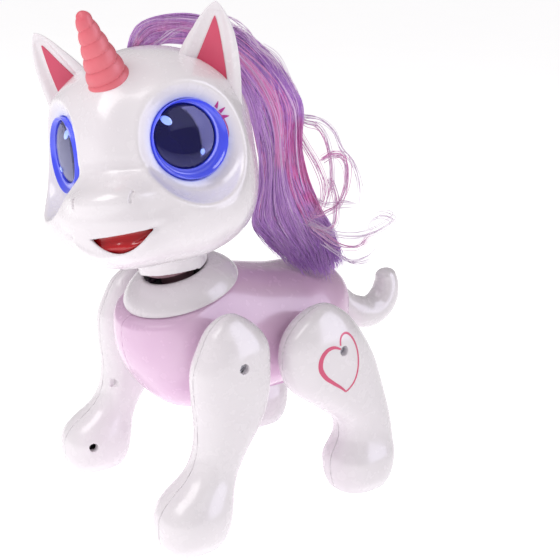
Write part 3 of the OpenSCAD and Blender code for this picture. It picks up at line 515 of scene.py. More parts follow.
# painted glow: the light of the eye rings is painted into the white round them as a blue tint and a faint emission
face_mat, nt, p, col = plastic("white_gloss_face_painted_ring_glow", W1, W2, 0.20, 0.30, coat=0.35, bumps=0.0)
painted_ring_glow = None
for sx in (1, -1):
    c = turned(EYE * [sx, 1, 1]); n = (EN * [sx, 1, 1]) @ RT.T
    r, s = radial(nt, c, n)
    g = map_range(nt, r, 0.0195, 0.0270, 1.0, 0.0)
    g = math_node(nt, "MULTIPLY", math_node(nt, "MULTIPLY", g, g), map_range(nt, s, -0.02, -0.008, 0.0, 1.0))
    painted_ring_glow = g if painted_ring_glow is None else math_node(nt, "MAXIMUM", painted_ring_glow, g)
nt.links.new(mix(nt, math_node(nt, "MULTIPLY", painted_ring_glow, 0.38), col, srgb(188, 204, 255)), p.inputs["Base Color"])
p.inputs["Emission Color"].default_value = srgb(120, 150, 255)
nt.links.new(math_node(nt, "MULTIPLY", painted_ring_glow, 0.10), p.inputs["Emission Strength"])

place("face_shell", face_me, face_mat, "head", ["face_shell"])
place("head_back_shell", back_me, white, "head", ["head_back_shell"])


def mouth_f(p):
    q = p.copy(); q[:, 0] = np.abs(q[:, 0])
    d = head_core(p)
    xs = p[:, 0] - 7.0
    zc = 160.8 + 0.03 * xs
    lip = 1.5 * np.exp(-((p[:, 2] - zc + 1.2) / 2.6) ** 2)
    return smax(smax(d + 3.4 - lip, -(d + 5.4), 0.3), mouth_cut(p, q) - 2.2, 0.5)


me = sdf_piece("mouth_insert", mouth_f, (-14, -114, 148), (28, -84, 172), H * 0.7, None, None, turned)
place("mouth_insert", me, mouth_red, "head", ["mouth_insert"])

# ------------------------------------------------------------------ eyes
def ring_rows(c, n, a, b, prof, seg_n):
    """rings about an axis: prof rows are (radius, height)"""
    t = np.arange(seg_n) * 2 * math.pi / seg_n
    return np.array([[c + n * h + r * (a * math.cos(x) + b * math.sin(x)) for x in t] for r, h in prof])


def mat_glass():
    m = bpy.data.materials.new("clear_lens"); m.use_nodes = True; nt = m.node_tree; nt.nodes.clear()
    out = nt.nodes.new("ShaderNodeOutputMaterial"); mx = nt.nodes.new("ShaderNodeMixShader")
    tr = nt.nodes.new("ShaderNodeBsdfTransparent"); gl = nt.nodes.new("ShaderNodeBsdfGlossy")
    tr.inputs[0].default_value = (0.90, 0.90, 1.0, 1); gl.inputs["Roughness"].default_value = 0.03
    nt.links.new(ramp(nt, noise(nt, 30.0, 2.0), [(0.3, (0.93, 0.94, 1, 1)), (0.7, (1, 1, 1, 1))]), gl.inputs["Color"])
    lw = nt.nodes.new("ShaderNodeLayerWeight"); lw.inputs["Blend"].default_value = 0.12
    nt.links.new(map_range(nt, lw.outputs["Fresnel"], 0.0, 1.0, 0.012, 0.22, "LINEAR"), mx.inputs[0])
    nt.links.new(tr.outputs[0], mx.inputs[1]); nt.links.new(gl.outputs[0], mx.inputs[2]); nt.links.new(mx.outputs[0], out.inputs["Surface"])
    return m


lens_mat = mat_glass()
ring_mat, nt, p, col = plastic("eye_ring_blue", srgb(52, 60, 205), srgb(78, 90, 232), 0.10, 0.18, coat=0.8, bumps=0.0)
p.inputs["Emission Color"].default_value = srgb(70, 90, 255)
nt.links.new(map_range(nt, noise(nt, 40.0, 2.0), 0.3, 0.7, 0.14, 0.30), p.inputs["Emission Strength"])
pupil_mat, nt, p, col = plastic("pupil_indigo", srgb(6, 5, 34), srgb(14, 12, 62), 0.05, 0.08, coat=0.0, bumps=0.004)
p.inputs["Specular Tint"].default_value = (0.50, 0.50, 1.0, 1); p.inputs["IOR"].default_value = 1.6
# the pupil's emission is a painted faint indigo glow on a printed disc that is no lamp
p.inputs["Emission Color"].default_value = srgb(24, 20, 120)
nt.links.new(map_range(nt, noise(nt, 26.0, 2.0), 0.3, 0.7, 0.04, 0.12), p.inputs["Emission Strength"])
# printed catchlight marks on the lens; the emission on them is a painted glow
catchlight_print_glow_mat, nt, p, col = plastic("eye_catchlight_print_painted_glow", srgb(120, 150, 250), srgb(190, 210, 255), 0.1, 0.2, coat=0.6)
p.inputs["Emission Color"].default_value = srgb(120, 150, 255); p.inputs["Emission Strength"].default_value = 0.55

NSEG = 128
SNAP_N = 26
for sx, side in ((1, "left"), (-1, "right")):
    S = np.array([sx, 1, 1.0])
    t = np.arange(NSEG) * 2 * math.pi / NSEG
    ang = np.stack([np.cos(t), np.sin(t)], 1)

    def ringpt(k, h):
        """k 0 is the inner circle, 1 the outer circle"""
        inner = PUP + 16.25 * (ang[:, :1] * E1 + ang[:, 1:] * E2)
        outer = EYE + 19.95 * (ang[:, :1] * E1 + ang[:, 1:] * E2)
        return inner + (outer - inner) * k + EN * h
    wid = np.linalg.norm(ringpt(1, 0) - ringpt(0, 0), axis=1, keepdims=True)
    rings = []
    for k, h in [(0, -5.5), (0, -0.6)]:
        rings.append(ringpt(k, h))
    lipw = 0.5 / wid
    for dk, h in [(0.0, 0.6), (0.35, 0.95), (0.8, 0.9), (1.0, 0.5)]:
        rings.append(ringpt(dk * lipw, h))
    for k in (0.2, 0.45, 0.7):
        kk = lipw + (1 - 1.35 / wid - lipw) * k
        rings.append(ringpt(kk, 0.35 - 0.5 * math.sin(math.pi * k) + 0.9 * k))
    for dk, h in [(1.30, 1.7), (0.95, 2.15), (0.5, 2.2), (0.12, 1.7), (0.0, 1.0)]:
        rings.append(ringpt(1 - dk / wid, h))
    rings.append(ringpt(1, -5.5))
    V, F = torus_like(np.array(rings)); V = turned(V * S)
    me = make_mesh("r", V, F); outward(me); smooth(me, 50)
    place("eye_ring_" + side, me, ring_mat, "head", ["eye_ring_" + side])

    dome = [(16.0 * math.cos(a), -0.4 + 2.7 * math.sin(a)) for a in np.linspace(0, math.pi / 2 * 0.985, 24)]
    V, F = strip(ring_rows(PUP, EN, E1, E2, [(16.0, -5.4), (16.0, -2.5)] + dome, NSEG), cap0=PUP - 5.4 * EN, cap1=PUP + 2.3 * EN)
    me = make_mesh("p", turned(V * S), F); outward(me); smooth(me, 60)
    place("pupil_" + side, me, pupil_mat, "head", ["pupil_" + side])

    def cap(r0, h0, r1, h1):
        o = [(r0 * math.cos(a), -0.2 + h0 * math.sin(a)) for a in np.linspace(0.02, math.pi / 2 * 0.985, 24)]
        i = [(r1 * math.cos(a), -0.2 + h1 * math.sin(a)) for a in np.linspace(0.02, math.pi / 2 * 0.985, 24)]
        V, F = strip(ring_rows(PUP, EN, E1, E2, i[::-1] + o, NSEG), cap0=PUP + (h1 - 0.2) * EN, cap1=PUP + (h0 - 0.2) * EN)
        return V, F
    V, F = cap(16.15, 3.3, 16.05, 2.9)
    me = make_mesh("l", turned(V * S), F); outward(me); smooth(me, 60)
    place("eye_lens_" + side, me, lens_mat, "head", ["eye_lens_" + side])

    # printed catchlight marks that sit on the lens; their emission is a painted glow
    parts_v, parts_f, k = [], [], 0
    for (cx, cy, rx, ry, tilt) in ((8.6, 8.8, 3.0, 2.0, 0.75), (-7.2, -9.0, 1.25, 1.5, 0.3)):
        rows = []
        for rad, lift in ((1.0, -0.12), (1.0, 0.10), (0.86, 0.26), (0.55, 0.36), (0.25, 0.40)):
            tt = np.arange(40) * 2 * math.pi / 40
            ex = rx * rad * np.cos(tt); ey = ry * rad * np.sin(tt)
            xx = cx + ex * math.cos(tilt) - ey * math.sin(tilt); yy = cy + ex * math.sin(tilt) + ey * math.cos(tilt)
            hh = -0.2 + 3.3 * np.sqrt(np.maximum(1 - (xx ** 2 + yy ** 2) / 15.6 ** 2, 0)) + lift
            rows.append(PUP + xx[:, None] * E1 + yy[:, None] * E2 + hh[:, None] * EN)
        hc = -0.2 + 3.3 * math.sqrt(1 - (cx * cx + cy * cy) / 15.6 ** 2)
        V, F = strip(np.array(rows), cap0=PUP + cx * E1 + cy * E2 + (hc - 0.12) * EN, cap1=PUP + cx * E1 + cy * E2 + (hc + 0.41) * EN)
        parts_v.append(V); parts_f += [f + k for f in F]; k += len(V)
    me = make_mesh("s", turned(np.concatenate(parts_v) * S), parts_f); outward(me); smooth(me, 60)
    place("eye_marks_" + side, me, catchlight_print_glow_mat, "head", ())

# ------------------------------------------------------------------ prints that follow a surface
def drop(f, P, D, far=12.0, n=60):
    """moves points P (n, 3) along the directions D until they meet f = 0, starting far out"""
    P = np.asarray(P, float); D = np.broadcast_to(np.asarray(D, float), P.shape)
    t = np.full(len(P), -far)
    for _ in range(n):
        d = f(P + D * t[:, None])
        t = t + np.clip(d, -2, 2) * 0.8
    return P + D * t[:, None]


def thin_print(name, rows, f, D, body, mat, slot, top=0.14, deep=0.25, to_row=None, flip=1):
    """rows: (m, n, 3) points near a surface; makes a thin closed sheet that lies on it"""
    rows = np.asarray(rows, float); m, n, _ = rows.shape
    P = drop(f, rows.reshape(-1, 3), D).reshape(m, n, 3)
    D = np.asarray(D, float)
    up, dn = P - D * top, P + D * deep
    V = np.concatenate([up.reshape(-1, 3), dn.reshape(-1, 3)]); k = m * n
    i, j = np.meshgrid(np.arange(m - 1), np.arange(n - 1), indexing="ij"); a = (i * n + j).ravel()
    F = [np.stack([a, a + 1, a + 1 + n, a + n], -1), np.stack([a + k, a + n + k, a + 1 + n + k, a + 1 + k], -1)]
    for e in (np.arange(n - 1)[:, None] + [0, 1], ((m - 1) * n + np.arange(n - 1))[:, None] + [1, 0],
              (np.arange(m - 1)[:, None] * n + [n, 0]), (np.arange(m - 1)[:, None] * n + n - 1 + [0, n])):
        F.append(np.stack([e[:, 0], e[:, 0] + k, e[:, 1] + k, e[:, 1]], -1)[:, ::-1])
    return V, F


def lash_rows():
    """crescent beside the ring and three spikes, in angle and radius about the eye"""
    out = []
    A0, A1 = LASH
    t = np.linspace(0, 1, 30)[:, None]
    a = A0 + (A1 - A0) * t
    w = 1.3 * np.sin(math.pi * np.clip(t * 1.0, 0, 1)) ** 0.7 * (0.55 + 0.45 * (1 - t))
    r = 20.35 + w * np.array([[0, 0.5, 1.0]])
    out.append((np.broadcast_to(a, r.shape), r))
    for f0, f1, ln in SPIKES:
        s = np.linspace(0, 1, 9)[:, None]
        ac = A0 + (A1 - A0) * (f0 + (f1 - f0) * s ** 1.3)
        hw = 0.045 * (1 - s) ** 0.8 + 0.003
        rr = 21.2 + ln * s + 0 * hw
        out.append((ac + hw * np.array([[-1, 0, 1.0]]), rr + 0 * np.array([[1, 1, 1.0]])))
    return out


LASH = (math.radians(190), math.radians(140))
SPIKES = ((0.66, 0.60, 3.0), (0.82, 0.82, 3.6), (0.98, 1.04, 3.2))
for sx, side in ((1, "left"), (-1, "right")):
    vv, ff, k = [], [], 0
    for a, r in lash_rows():
        P = EYE + (r * np.cos(a))[..., None] * E1 + (r * np.sin(a))[..., None] * E2
        V, F = thin_print("lash", P, head_core, -EN, "head", None, None)
        vv.append(V); ff += [x + k for x in F]; k += len(V)
    me = make_mesh("lash", turned(np.concatenate(vv) * [sx, 1, 1]), ff); outward(me); smooth(me, 40)
    place("lashes_" + side, me, print_magenta, "head", ())

# ------------------------------------------------------------------ horn
HORN_N = unit([0, -16, 30]); HORN_S = np.array([0, -78, 242]) - 1.5 * HORN_N
HU = np.array([1.0, 0, 0]); HW = np.cross(HORN_N, HU)
rows = []
NT, NA = 150, 96
th = np.arange(NA) * 2 * math.pi / NA
for i in range(NT):
    t = i / (NT - 1)
    ph = (t * 5.6 - th / (2 * math.pi) + 0.35) % 1.0
    R = 11.4 * (1 - t) ** 0.70 * 0.9 + 1.0
    R = 11.3 * (1 - 0.72 * t) * (1 - max(0, (t - 0.90) / 0.10) ** 2.2) ** 0.5 if t < 1 else 0.0
    b = (np.sin(math.pi * ph) ** 0.55 - 0.75) * (1.25 - 0.45 * t) * (1 - max(0, (t - 0.93) / 0.07)) * min(1, t / 0.05 + 0.25)
    rr = np.maximum(R + b, 0.05)
    rows.append(HORN_S + HORN_N * (-2.2 + (35.6 + 2.2) * t) + rr[:, None] * (np.cos(th)[:, None] * HU + np.sin(th)[:, None] * HW))
V, F = strip(np.array(rows), cap0=HORN_S - 2.2 * HORN_N, cap1=HORN_S + 35.7 * HORN_N)
me = make_mesh("horn", turned(V), F); outward(me); smooth(me, 70)
place("horn", me, coral, "head", ["horn"])

# ------------------------------------------------------------------ ears
EAR_M = unit([0.70, -0.10, 0.70]); EAR_S = np.array([42, -45, 236]) - 1.6 * EAR_M
EAR_W = unit([0.30, -0.16, 0.94]); n_ = np.array([0.20, -0.97, 0.0]); EAR_F = unit(n_ - (n_ @ EAR_W) * EAR_W); EAR_U = np.cross(EAR_F, EAR_W)
EAR_L = 37.0


def ear_pt(x, y, t):
    c = EAR_S + EAR_W * EAR_L * t
    m = unit(EAR_M * (1 - min(1, max(0, 1.6 * t))) + EAR_W * min(1, max(0, 1.6 * t)))
    d = np.asarray(x)[:, None] * EAR_U + np.asarray(y)[:, None] * EAR_F
    return c + d - EAR_W * ((d @ m) / (EAR_W @ m))[:, None]


def ear_hw(t):
    tt = min(max(t, 0), 1)
    return 17 * (1 - tt) ** 0.72 * (1 + 0.40 * tt) + max(0, -t) * 6


def ear_front(u, t):
    """height of the front face at share u of the half-width"""
    k = np.clip((0.84 - np.abs(u)) / 0.40, 0, 1); k = k * k * (3 - 2 * k)
    return 1.7 * (1 - np.abs(u) ** 6) ** 0.5 * min(1, 1.6 * (1 - t) + 0.1) - 4.4 * max(0, 1 - t / 0.90) ** 0.55 * k


rows, ins_o, ins_i = [], [], []
ts = np.concatenate([np.linspace(-0.12, 0.9, 52), 0.9 + 0.1 * np.sin(np.linspace(0.1, 1, 12) * math.pi / 2)])[:-1]
for t in ts:
    w = ear_hw(t); h = 6.5 * (1 - 0.75 * max(t, 0)) * (1 if t < 0.9 else (max(0, 1 - ((t - 0.9) / 0.1) ** 2)) ** 0.5 * 0.9 + 0.1)
    a = np.linspace(0, math.pi, 33)
    xb, yb = w * np.cos(a), -h * np.sin(a) ** 0.9
    u = -np.cos(np.linspace(0, math.pi, 41))[1:-1]
    rows.append(np.concatenate([ear_pt(xb, yb, t), ear_pt(w * u, ear_front(u, t), t)]))
V, F = strip(np.array(rows), cap0=ear_pt(np.array([0.0]), np.array([-2.0]), -0.13)[0], cap1=EAR_S + EAR_W * EAR_L * 1.003)
IN_T = np.linspace(0.015, 0.80, 44)
ou, inn = [], []
for t in IN_T:
    hw = 8.6 * (1 - (t - 0.015) / 0.79) ** 0.85 + 0.05
    u = np.linspace(-1, 1, 25) * hw / ear_hw(t)
    y = ear_front(u, t)
    ou.append(ear_pt(ear_hw(t) * u, y + 0.45, t)); inn.append(ear_pt(ear_hw(t) * u, y - 0.8, t))
ou, inn = np.array(ou), np.array(inn)


def sheet_mesh(up, dn):
    m, n, _ = up.shape; V = np.concatenate([up.reshape(-1, 3), dn.reshape(-1, 3)]); k = m * n
    i, j = np.meshgrid(np.arange(m - 1), np.arange(n - 1), indexing="ij"); a = (i * n + j).ravel()
    F = [np.stack([a, a + 1, a + 1 + n, a + n], -1), np.stack([a + k, a + n + k, a + 1 + n + k, a + 1 + k], -1)]
    for e in (np.arange(n - 1)[:, None] + [0, 1], ((m - 1) * n + np.arange(n - 1))[:, None] + [1, 0],
              (np.arange(m - 1)[:, None] * n + [n, 0]), (np.arange(m - 1)[:, None] * n + n - 1 + [0, n])):
        F.append(np.stack([e[:, 0], e[:, 0] + k, e[:, 1] + k, e[:, 1]], -1)[:, ::-1])
    return V, F


IV, IF = sheet_mesh(ou, inn)
ins_v, ins_f = [], []
for sx, side in ((1, "left"), (-1, "right")):
    me = make_mesh("ear", turned(V * [sx, 1, 1]), F); outward(me); smooth(me, 55)
    place("ear_" + side, me, white, "head", ["ear_" + side])
    me = make_mesh("ins", turned(IV * [sx, 1, 1]), IF); outward(me); smooth(me, 45)
    place("ear_insert_" + side, me, ear_pink, "head", ["ear_inserts"] if sx > 0 else ())

# ------------------------------------------------------------------ lofted body and legs
def curve_through(tab, n=40):
    tab = np.asarray(tab, float); out = []
    for i in range(len(tab) - 1):
        a, b, c, d = tab[max(i - 1, 0)], tab[i], tab[i + 1], tab[min(i + 2, len(tab) - 1)]
        for u in np.arange(n) / n:
            out.append(0.5 * (2 * b + (c - a) * u + (2 * a - 5 * b + 4 * c - d) * u * u + (3 * b - a - 3 * c + d) * u ** 3))
    out.append(tab[-1]); out = np.array(out)
    return out[np.argsort(out[:, 0], kind="stable")]


class Loft:
    """superellipse sections along one axis; rows are axis, centre 1, half 1, centre 2, half 2; poles close the ends"""

    def __init__(self, rows, lo, hi, power, blur, pole_lo=None, pole_hi=None):
        c = curve_through(rows)
        t = np.arange(lo - 12, hi + 12, 0.25)
        c1, h1, c2, h2 = (np.interp(t, c[:, 0], c[:, k]) for k in (1, 2, 3, 4))
        def sq(h):
            s = h * h
            if pole_lo is not None:
                k = t < c[0, 0]; s[k] = h[k] ** 2 * (t[k] - pole_lo) / (c[0, 0] - pole_lo)
            else:
                k = t < c[0, 0]; e = (c[0, 0] - t[k]); s[k] = (h[k] - (c[12, 2] - c[0, 2]) / max(c[12, 0] - c[0, 0], 0.1) * e * 0.8) ** 2
            if pole_hi is not None:
                k = t > c[-1, 0]; s[k] = h[k] ** 2 * (pole_hi - t[k]) / (pole_hi - c[-1, 0])
            return s
        k = np.exp(-0.5 * (np.arange(-24, 25) * 0.25 / blur) ** 2); k /= k.sum()
        sm = lambda a: np.convolve(np.pad(a, 24, mode="edge"), k, "valid")
        self.t, self.c1, self.c2 = t, sm(c1), sm(c2)
        ratio = h1 / np.maximum(h2, 0.1)
        self.ratio = sm(ratio); self.s = sm(sq(h1))
        self.n = power

    def raw(self, a, b, c):
        """a along the axis, b over direction 1, c over direction 2"""
        i = np.clip((a - self.t[0]) / 0.25, 0, len(self.t) - 1.001); k = i.astype(int); w = (i - k).astype(a.dtype)
        L = lambda v: v[k].astype(a.dtype) * (1 - w) + v[k + 1].astype(a.dtype) * w
        x = np.abs(b - L(self.c1)); y = np.abs(c - L(self.c2)) * L(self.ratio)
        R = (x ** self.n + y ** self.n + 1e-6) ** (1.0 / self.n)
        return R * R - L(self.s)

    def __call__(self, a, b, c):
        e = 0.2
        f = self.raw(a, b, c)
        ga = (self.raw(a + e, b, c) - self.raw(a - e, b, c)) / (2 * e)
        gb = (self.raw(a, b + e, c) - self.raw(a, b - e, c)) / (2 * e)
        gc = (self.raw(a, b, c + e) - self.raw(a, b, c - e)) / (2 * e)
        g2 = ga * ga + gb * gb + gc * gc
        # the exact distance where f is quadratic, near enough elsewhere
        return 2 * f / (np.sqrt(g2) + np.sqrt(np.maximum(g2 + 2.2 * np.maximum(f, 0), 1e-4)) + 1e-3)


BODY = [[-66, 104, 18, 20], [-58, 102, 29, 31], [-46, 99, 35.5, 39], [-30, 97, 37, 41.5], [-10, 96, 37.4, 39],
        [12, 94, 37.4, 36.5], [32, 93.5, 37, 33.5], [52, 96, 33.5, 30], [66, 99, 26, 23.5], [75, 101, 15, 14]]
body_loft = Loft([[r[0], r[1], r[3], 0.0, min(r[2], 37.5)] for r in BODY], -71, 80, 2.3, 2.0, -70.6, 79.6)


def body_core(p):
    d = body_loft(p[:, 1], p[:, 2], p[:, 0])
    s, rr = about(p, NECK, AX)
    front = np.clip((12 - p[:, 1]) / 14, 0, 1)
    return smax(d, (s + 20.4 + 0.10 * np.maximum(rr - 30, 0)) - 30 * (1 - front), 3.0)
HUBS = ((-35, 98), (31, 94))


def body_f(sx):
    def f(p):
        d = body_core(p)
        d = np.maximum(d, -(d + 2.0))
        s, rr = about(p, NECK, AX)
        d = smax(d, -np.maximum(rr - 24.4, -(s + 26)), 0.5)
        d = smax(d, -np.maximum(rr - 30.0, -(s + 20.3)), 0.5)
        d = smax(d, -cyl(p, (0, -24, 55), (0, 0, 1), 5.1, -15, 15), 0.4)
        d = smax(d, -boxf(p, (-15, 0, 40), (15, 38, 70)), 0.4)
        d = smax(d, -boxf(p, (-14.3, -31, 40), (-9.7, -21.8, 70)), 0.3)
        d = smax(d, -cyl(p, (0, 66, 102.4), (0, 1, 0), 10.8, 0, 20), 0.6)
        for y, z in HUBS:
            r = np.sqrt((p[:, 1] - y) ** 2 + (p[:, 2] - z) ** 2); ax = p[:, 0] * sx
            d = np.minimum(d, np.maximum(np.maximum(r - 6.0, 27 - ax), ax - 36))
            d = np.maximum(d, -np.maximum(r - 3.15, 20 - ax))
        return smax(d, 0.06 - p[:, 0] * sx, 0.28)
    return f


for sx, side in ((1, "left"), (-1, "right")):
    lo, hi = ((-1.5, -73, 52), (40, 82, 142)) if sx > 0 else ((-40, -73, 52), (1.5, 82, 142))
    me = sdf_piece("body_%s_shell" % side, body_f(sx), lo, hi, H * 1.15, body_core, 2.0)
    place("body_%s_shell" % side, me, pink, "torso", ["body_%s_shell" % side])

FLEG = [[2.6, -61.5, 16.6, 14.4, 56], [7, -61.5, 18.8, 17.1, 56], [13, -61, 20.2, 18.2, 56], [22, -60, 20.8, 18, 56],
        [30, -56.5, 18.6, 15.6, 55.6], [39, -49, 14.4, 12.8, 54.6], [50, -42.5, 14.6, 12.6, 53.6], [65, -36.5, 19.2, 13.3, 52.8],
        [80, -35, 22.2, 13.8, 52.4], [95, -35, 22.6, 13.8, 52.2], [107, -33.5, 19.6, 12.6, 52], [116, -34.5, 14, 9.4, 51.8], [121.5, -35.5, 7, 5, 51.6]]
RLEG = [[2.6, 55, 16.6, 14.4, 53], [7, 55, 18.8, 17.1, 53], [13, 55.2, 20.4, 18.2, 53], [22, 55.4, 21.4, 18, 53],
        [29, 56.4, 19.6, 15.4, 53], [37, 57.4, 17.8, 13.4, 53], [47, 55, 18, 13, 52.8], [58, 46.5, 23.4, 13.4, 52.5],
        [70, 36.5, 29.6, 13.8, 52.2], [80, 31.5, 31, 13.9, 52], [91, 27.5, 29, 13.8, 52], [102, 25, 24, 12.8, 51.8], [111, 25, 16, 10, 51.6], [116, 25.6, 8, 6, 51.6]]
fleg_loft = Loft([[r[0], r[1], r[2], r[4], r[3]] for r in FLEG], 2.6, 123.8, 2.4, 1.8, None, 123.8)
rleg_loft = Loft([[r[0], r[1], r[2], r[4], r[3]] for r in RLEG], 2.6, 118.4, 2.4, 1.8, None, 118.4)


def resample(P, n):
    P = np.asarray(P, float)
    C = curve_through(np.concatenate([np.arange(len(P))[:, None], P], 1), 16)[:, 1:]
    L = np.concatenate([[0], np.cumsum(np.linalg.norm(np.diff(C, axis=0), axis=1))])
    t = np.linspace(0, L[-1], n)
    return np.stack([np.interp(t, L, C[:, k]) for k in range(3)], 1)


def leg_core(loft):
    return lambda p: loft(p[:, 2], p[:, 1], p[:, 0])


def leg_f(loft, hip, outer, holes):
    core = leg_core(loft)
    def f(p):
        d0 = core(p)
        d = np.maximum(d0, -(d0 + 2.0))
        d = smax(d, 2.6 - p[:, 2], 0.5)
        r = np.sqrt((p[:, 1] - hip[0]) ** 2 + (p[:, 2] - hip[1]) ** 2)
        if outer:
            d = np.minimum(d, np.maximum(np.maximum(r - 4.4, 52.6 - p[:, 0]), d0 + 1.0))
            d = smax(d, -np.maximum(r - 2.7, 60.2 - p[:, 0]), 0.45)
            d = np.maximum(d, -np.maximum(r - 1.35, 50 - p[:, 0]))
        else:
            d = np.minimum(d, np.maximum(np.maximum(r - 6.0, 39.4 - p[:, 0]), p[:, 0] - 49.4))
            d = np.maximum(d, -np.maximum(r - 3.15, p[:, 0] - 60))
        for y, z in holes:
            rr = np.sqrt((p[:, 1] - y) ** 2 + (p[:, 2] - z) ** 2)
            inner = p[:, 0] < 52
            tube = np.maximum(np.maximum(rr - 3.9, d0 + 1.0), p[:, 0] - 50)
            d = np.minimum(d, tube)
            d = smax(d, -np.maximum(rr - 2.5, p[:, 0] - 47.0), 0.45)
        i = np.clip((p[:, 2] - loft.t[0]) / 0.25, 0, len(loft.t) - 1.001).astype(int)
        s = p[:, 0] - loft.c2[i].astype(p.dtype)
        return smax(d, (0.06 - s) if outer else (s + 0.06), 0.26)
    return f


LEGS = (("front", fleg_loft, (-35, 98), (33, -86, 0), (76, -10, 126), ((-53.5, 55.5), (-70, 20))),
        ("rear", rleg_loft, (31, 94), (33, -4, 0), (76, 80, 121), ()))
for end, loft, hip, lo, hi, holes in LEGS:
    for part, outer in (("outer", True), ("inner", False)):
        f = leg_f(loft, hip, outer, () if outer else holes)
        l2 = list(lo); h2 = list(hi)
        if outer:
            l2[0] = 49.5
        else:
            h2[0] = 58.5
        V, tris, quads = sdf_mesh(f, l2, h2, H * 1.1, leg_core(loft), 2.0)
        P = settle(V, f)
        for sx, side in ((1, "left"), (-1, "right")):
            me = make_mesh("leg", P * [sx, 1, 1], [quads, tris] if len(tris) else [quads]); flip_if_inside_out(me)
            g = (lambda q, f=f, sx=sx: f(q * np.array([sx, 1, 1], q.dtype)))
            shade_by_field(me, g, P * [sx, 1, 1])
            nm = "%s_%s_leg_%s" % (end, side, part)
            place(nm, me, white, "%s_%s_leg" % (end, side), [nm])

# ------------------------------------------------------------------ heart print on the rear legs: (y, z) and half width
HEART_L = [(28.2, 95.7, 0.5), (23.6, 97.4, 0.9), (19.0, 96.4, 1.2), (15.6, 92.4, 1.35), (15.2, 86.6, 1.35), (18.6, 81.0, 1.2), (24.0, 76.6, 1.0), (29.0, 73.0, 0.8), (32.6, 69.8, 0.5)]
HEART_R = [(28.2, 97.6, 0.5), (28.4, 101.2, 0.55), (30.6, 103.6, 0.6), (34.2, 103.2, 0.6), (37.8, 99.4, 0.55), (40.4, 93.6, 0.55), (41.4, 86.8, 0.55), (40.9, 80.2, 0.55), (38.6, 74.6, 0.55), (35.2, 71.2, 0.5), (32.8, 69.8, 0.45)]
rcore = leg_core(rleg_loft)
vv, ff, k = [], [], 0
for pts in (HEART_L, HEART_R):
    c = resample([(65.0, y, z) for y, z, w_ in pts], 64)
    hw = np.interp(np.linspace(0, 1, 64), np.linspace(0, 1, len(pts)), [w_ for y, z, w_ in pts])
    tg_ = np.gradient(c[:, 1:], axis=0); tg_ /= np.linalg.norm(tg_, axis=1, keepdims=True)
    nrm = np.stack([np.zeros(64), -tg_[:, 1], tg_[:, 0]], 1)
    rows = np.stack([c + nrm * (hw * q)[:, None] for q in (-1, -0.5, 0, 0.5, 1)], 1)
    V, F = thin_print("heart", rows, rcore, np.array([-1.0, 0.0, 0.0]), None, None, None, 0.12, 0.25)
    vv.append(V); ff += [x + k for x in F]; k += len(V)
V = np.concatenate(vv)
for sx, side in ((1, "left"), (-1, "right")):
    me = make_mesh("heart", V * [sx, 1, 1], ff); outward(me); smooth(me, 40)
    place("heart_print_" + side, me, print_pink, "rear_%s_leg" % side, ())

# ------------------------------------------------------------------ collar
prof = [(17.4, -12.5), (17.4, -9.0), (17.55, -8.2), (18.1, -7.85)]
prof += [(19 + 13.6 * math.cos(a) ** 1.35, -19.4 + 11.6 * math.sin(a) ** 1.3) for a in np.linspace(math.radians(88), 0, 40)]
prof += [(32.6, -20.0), (32.2, -20.3), (27.0, -20.2), (27.0, -19.2)]
prof += [(19 + 8.0 * math.cos(a) ** 1.35, -19.2 + 7.4 * math.sin(a) ** 1.3) for a in np.linspace(0.05, math.radians(85), 24)]
R = ring_rows(NECK, AX, np.array([1.0, 0, 0]), EB, prof, 160)
V, F = torus_like(R)
me = make_mesh("collar", V, F); outward(me); smooth(me, 40)
place("neck_collar", me, white, "torso", ["neck_collar"])

# ------------------------------------------------------------------ tail
TAIL = [[72, 103.5, 6.8], [79, 99.8, 6.8], [86, 92.8, 7.8], [94, 86.8, 9.8], [103, 84.2, 9.9], [112, 86.8, 9.6],
        [117.4, 93.5, 9.0], [118.6, 101, 7.8], [117.8, 106.0, 6.6]]
T = curve_through([[i] + r for i, r in enumerate(TAIL)], 12)[:, 1:]
k = np.array([1, 4, 6, 4, 1.0]) / 16
for _ in range(3):
    T[2:-2] = np.stack([np.convolve(T[:, c], k, "valid") for c in range(3)], 1)
tg = np.gradient(T[:, :2], axis=0); tg /= np.linalg.norm(tg, axis=1, keepdims=True); nx = np.stack([-tg[:, 1], tg[:, 0]], 1)
th = np.arange(72) * 2 * math.pi / 72
ring = lambda c, r, nn: np.stack([r * np.cos(th), c[0] + r * np.sin(th) * nn[0], c[1] + r * np.sin(th) * nn[1]], -1)
rows = [ring(T[0, :2] - tg[0] * 5, 6.4, nx[0])] + [ring(T[i, :2], T[i, 2], nx[i]) for i in range(len(T))]
for a in np.linspace(0.15, 1.5, 12):
    rows.append(ring(T[-1, :2] + tg[-1] * 4.6 * math.sin(a), T[-1, 2] * math.cos(a), nx[-1]))
V, F = strip(np.array(rows), cap0=[0, *(T[0, :2] - tg[0] * 5.5)], cap1=[0, *(T[-1, :2] + tg[-1] * 4.62)])
me = make_mesh("tail", V, F); outward(me); smooth(me, 60)
place("tail", me, white, "tail", ["tail"])

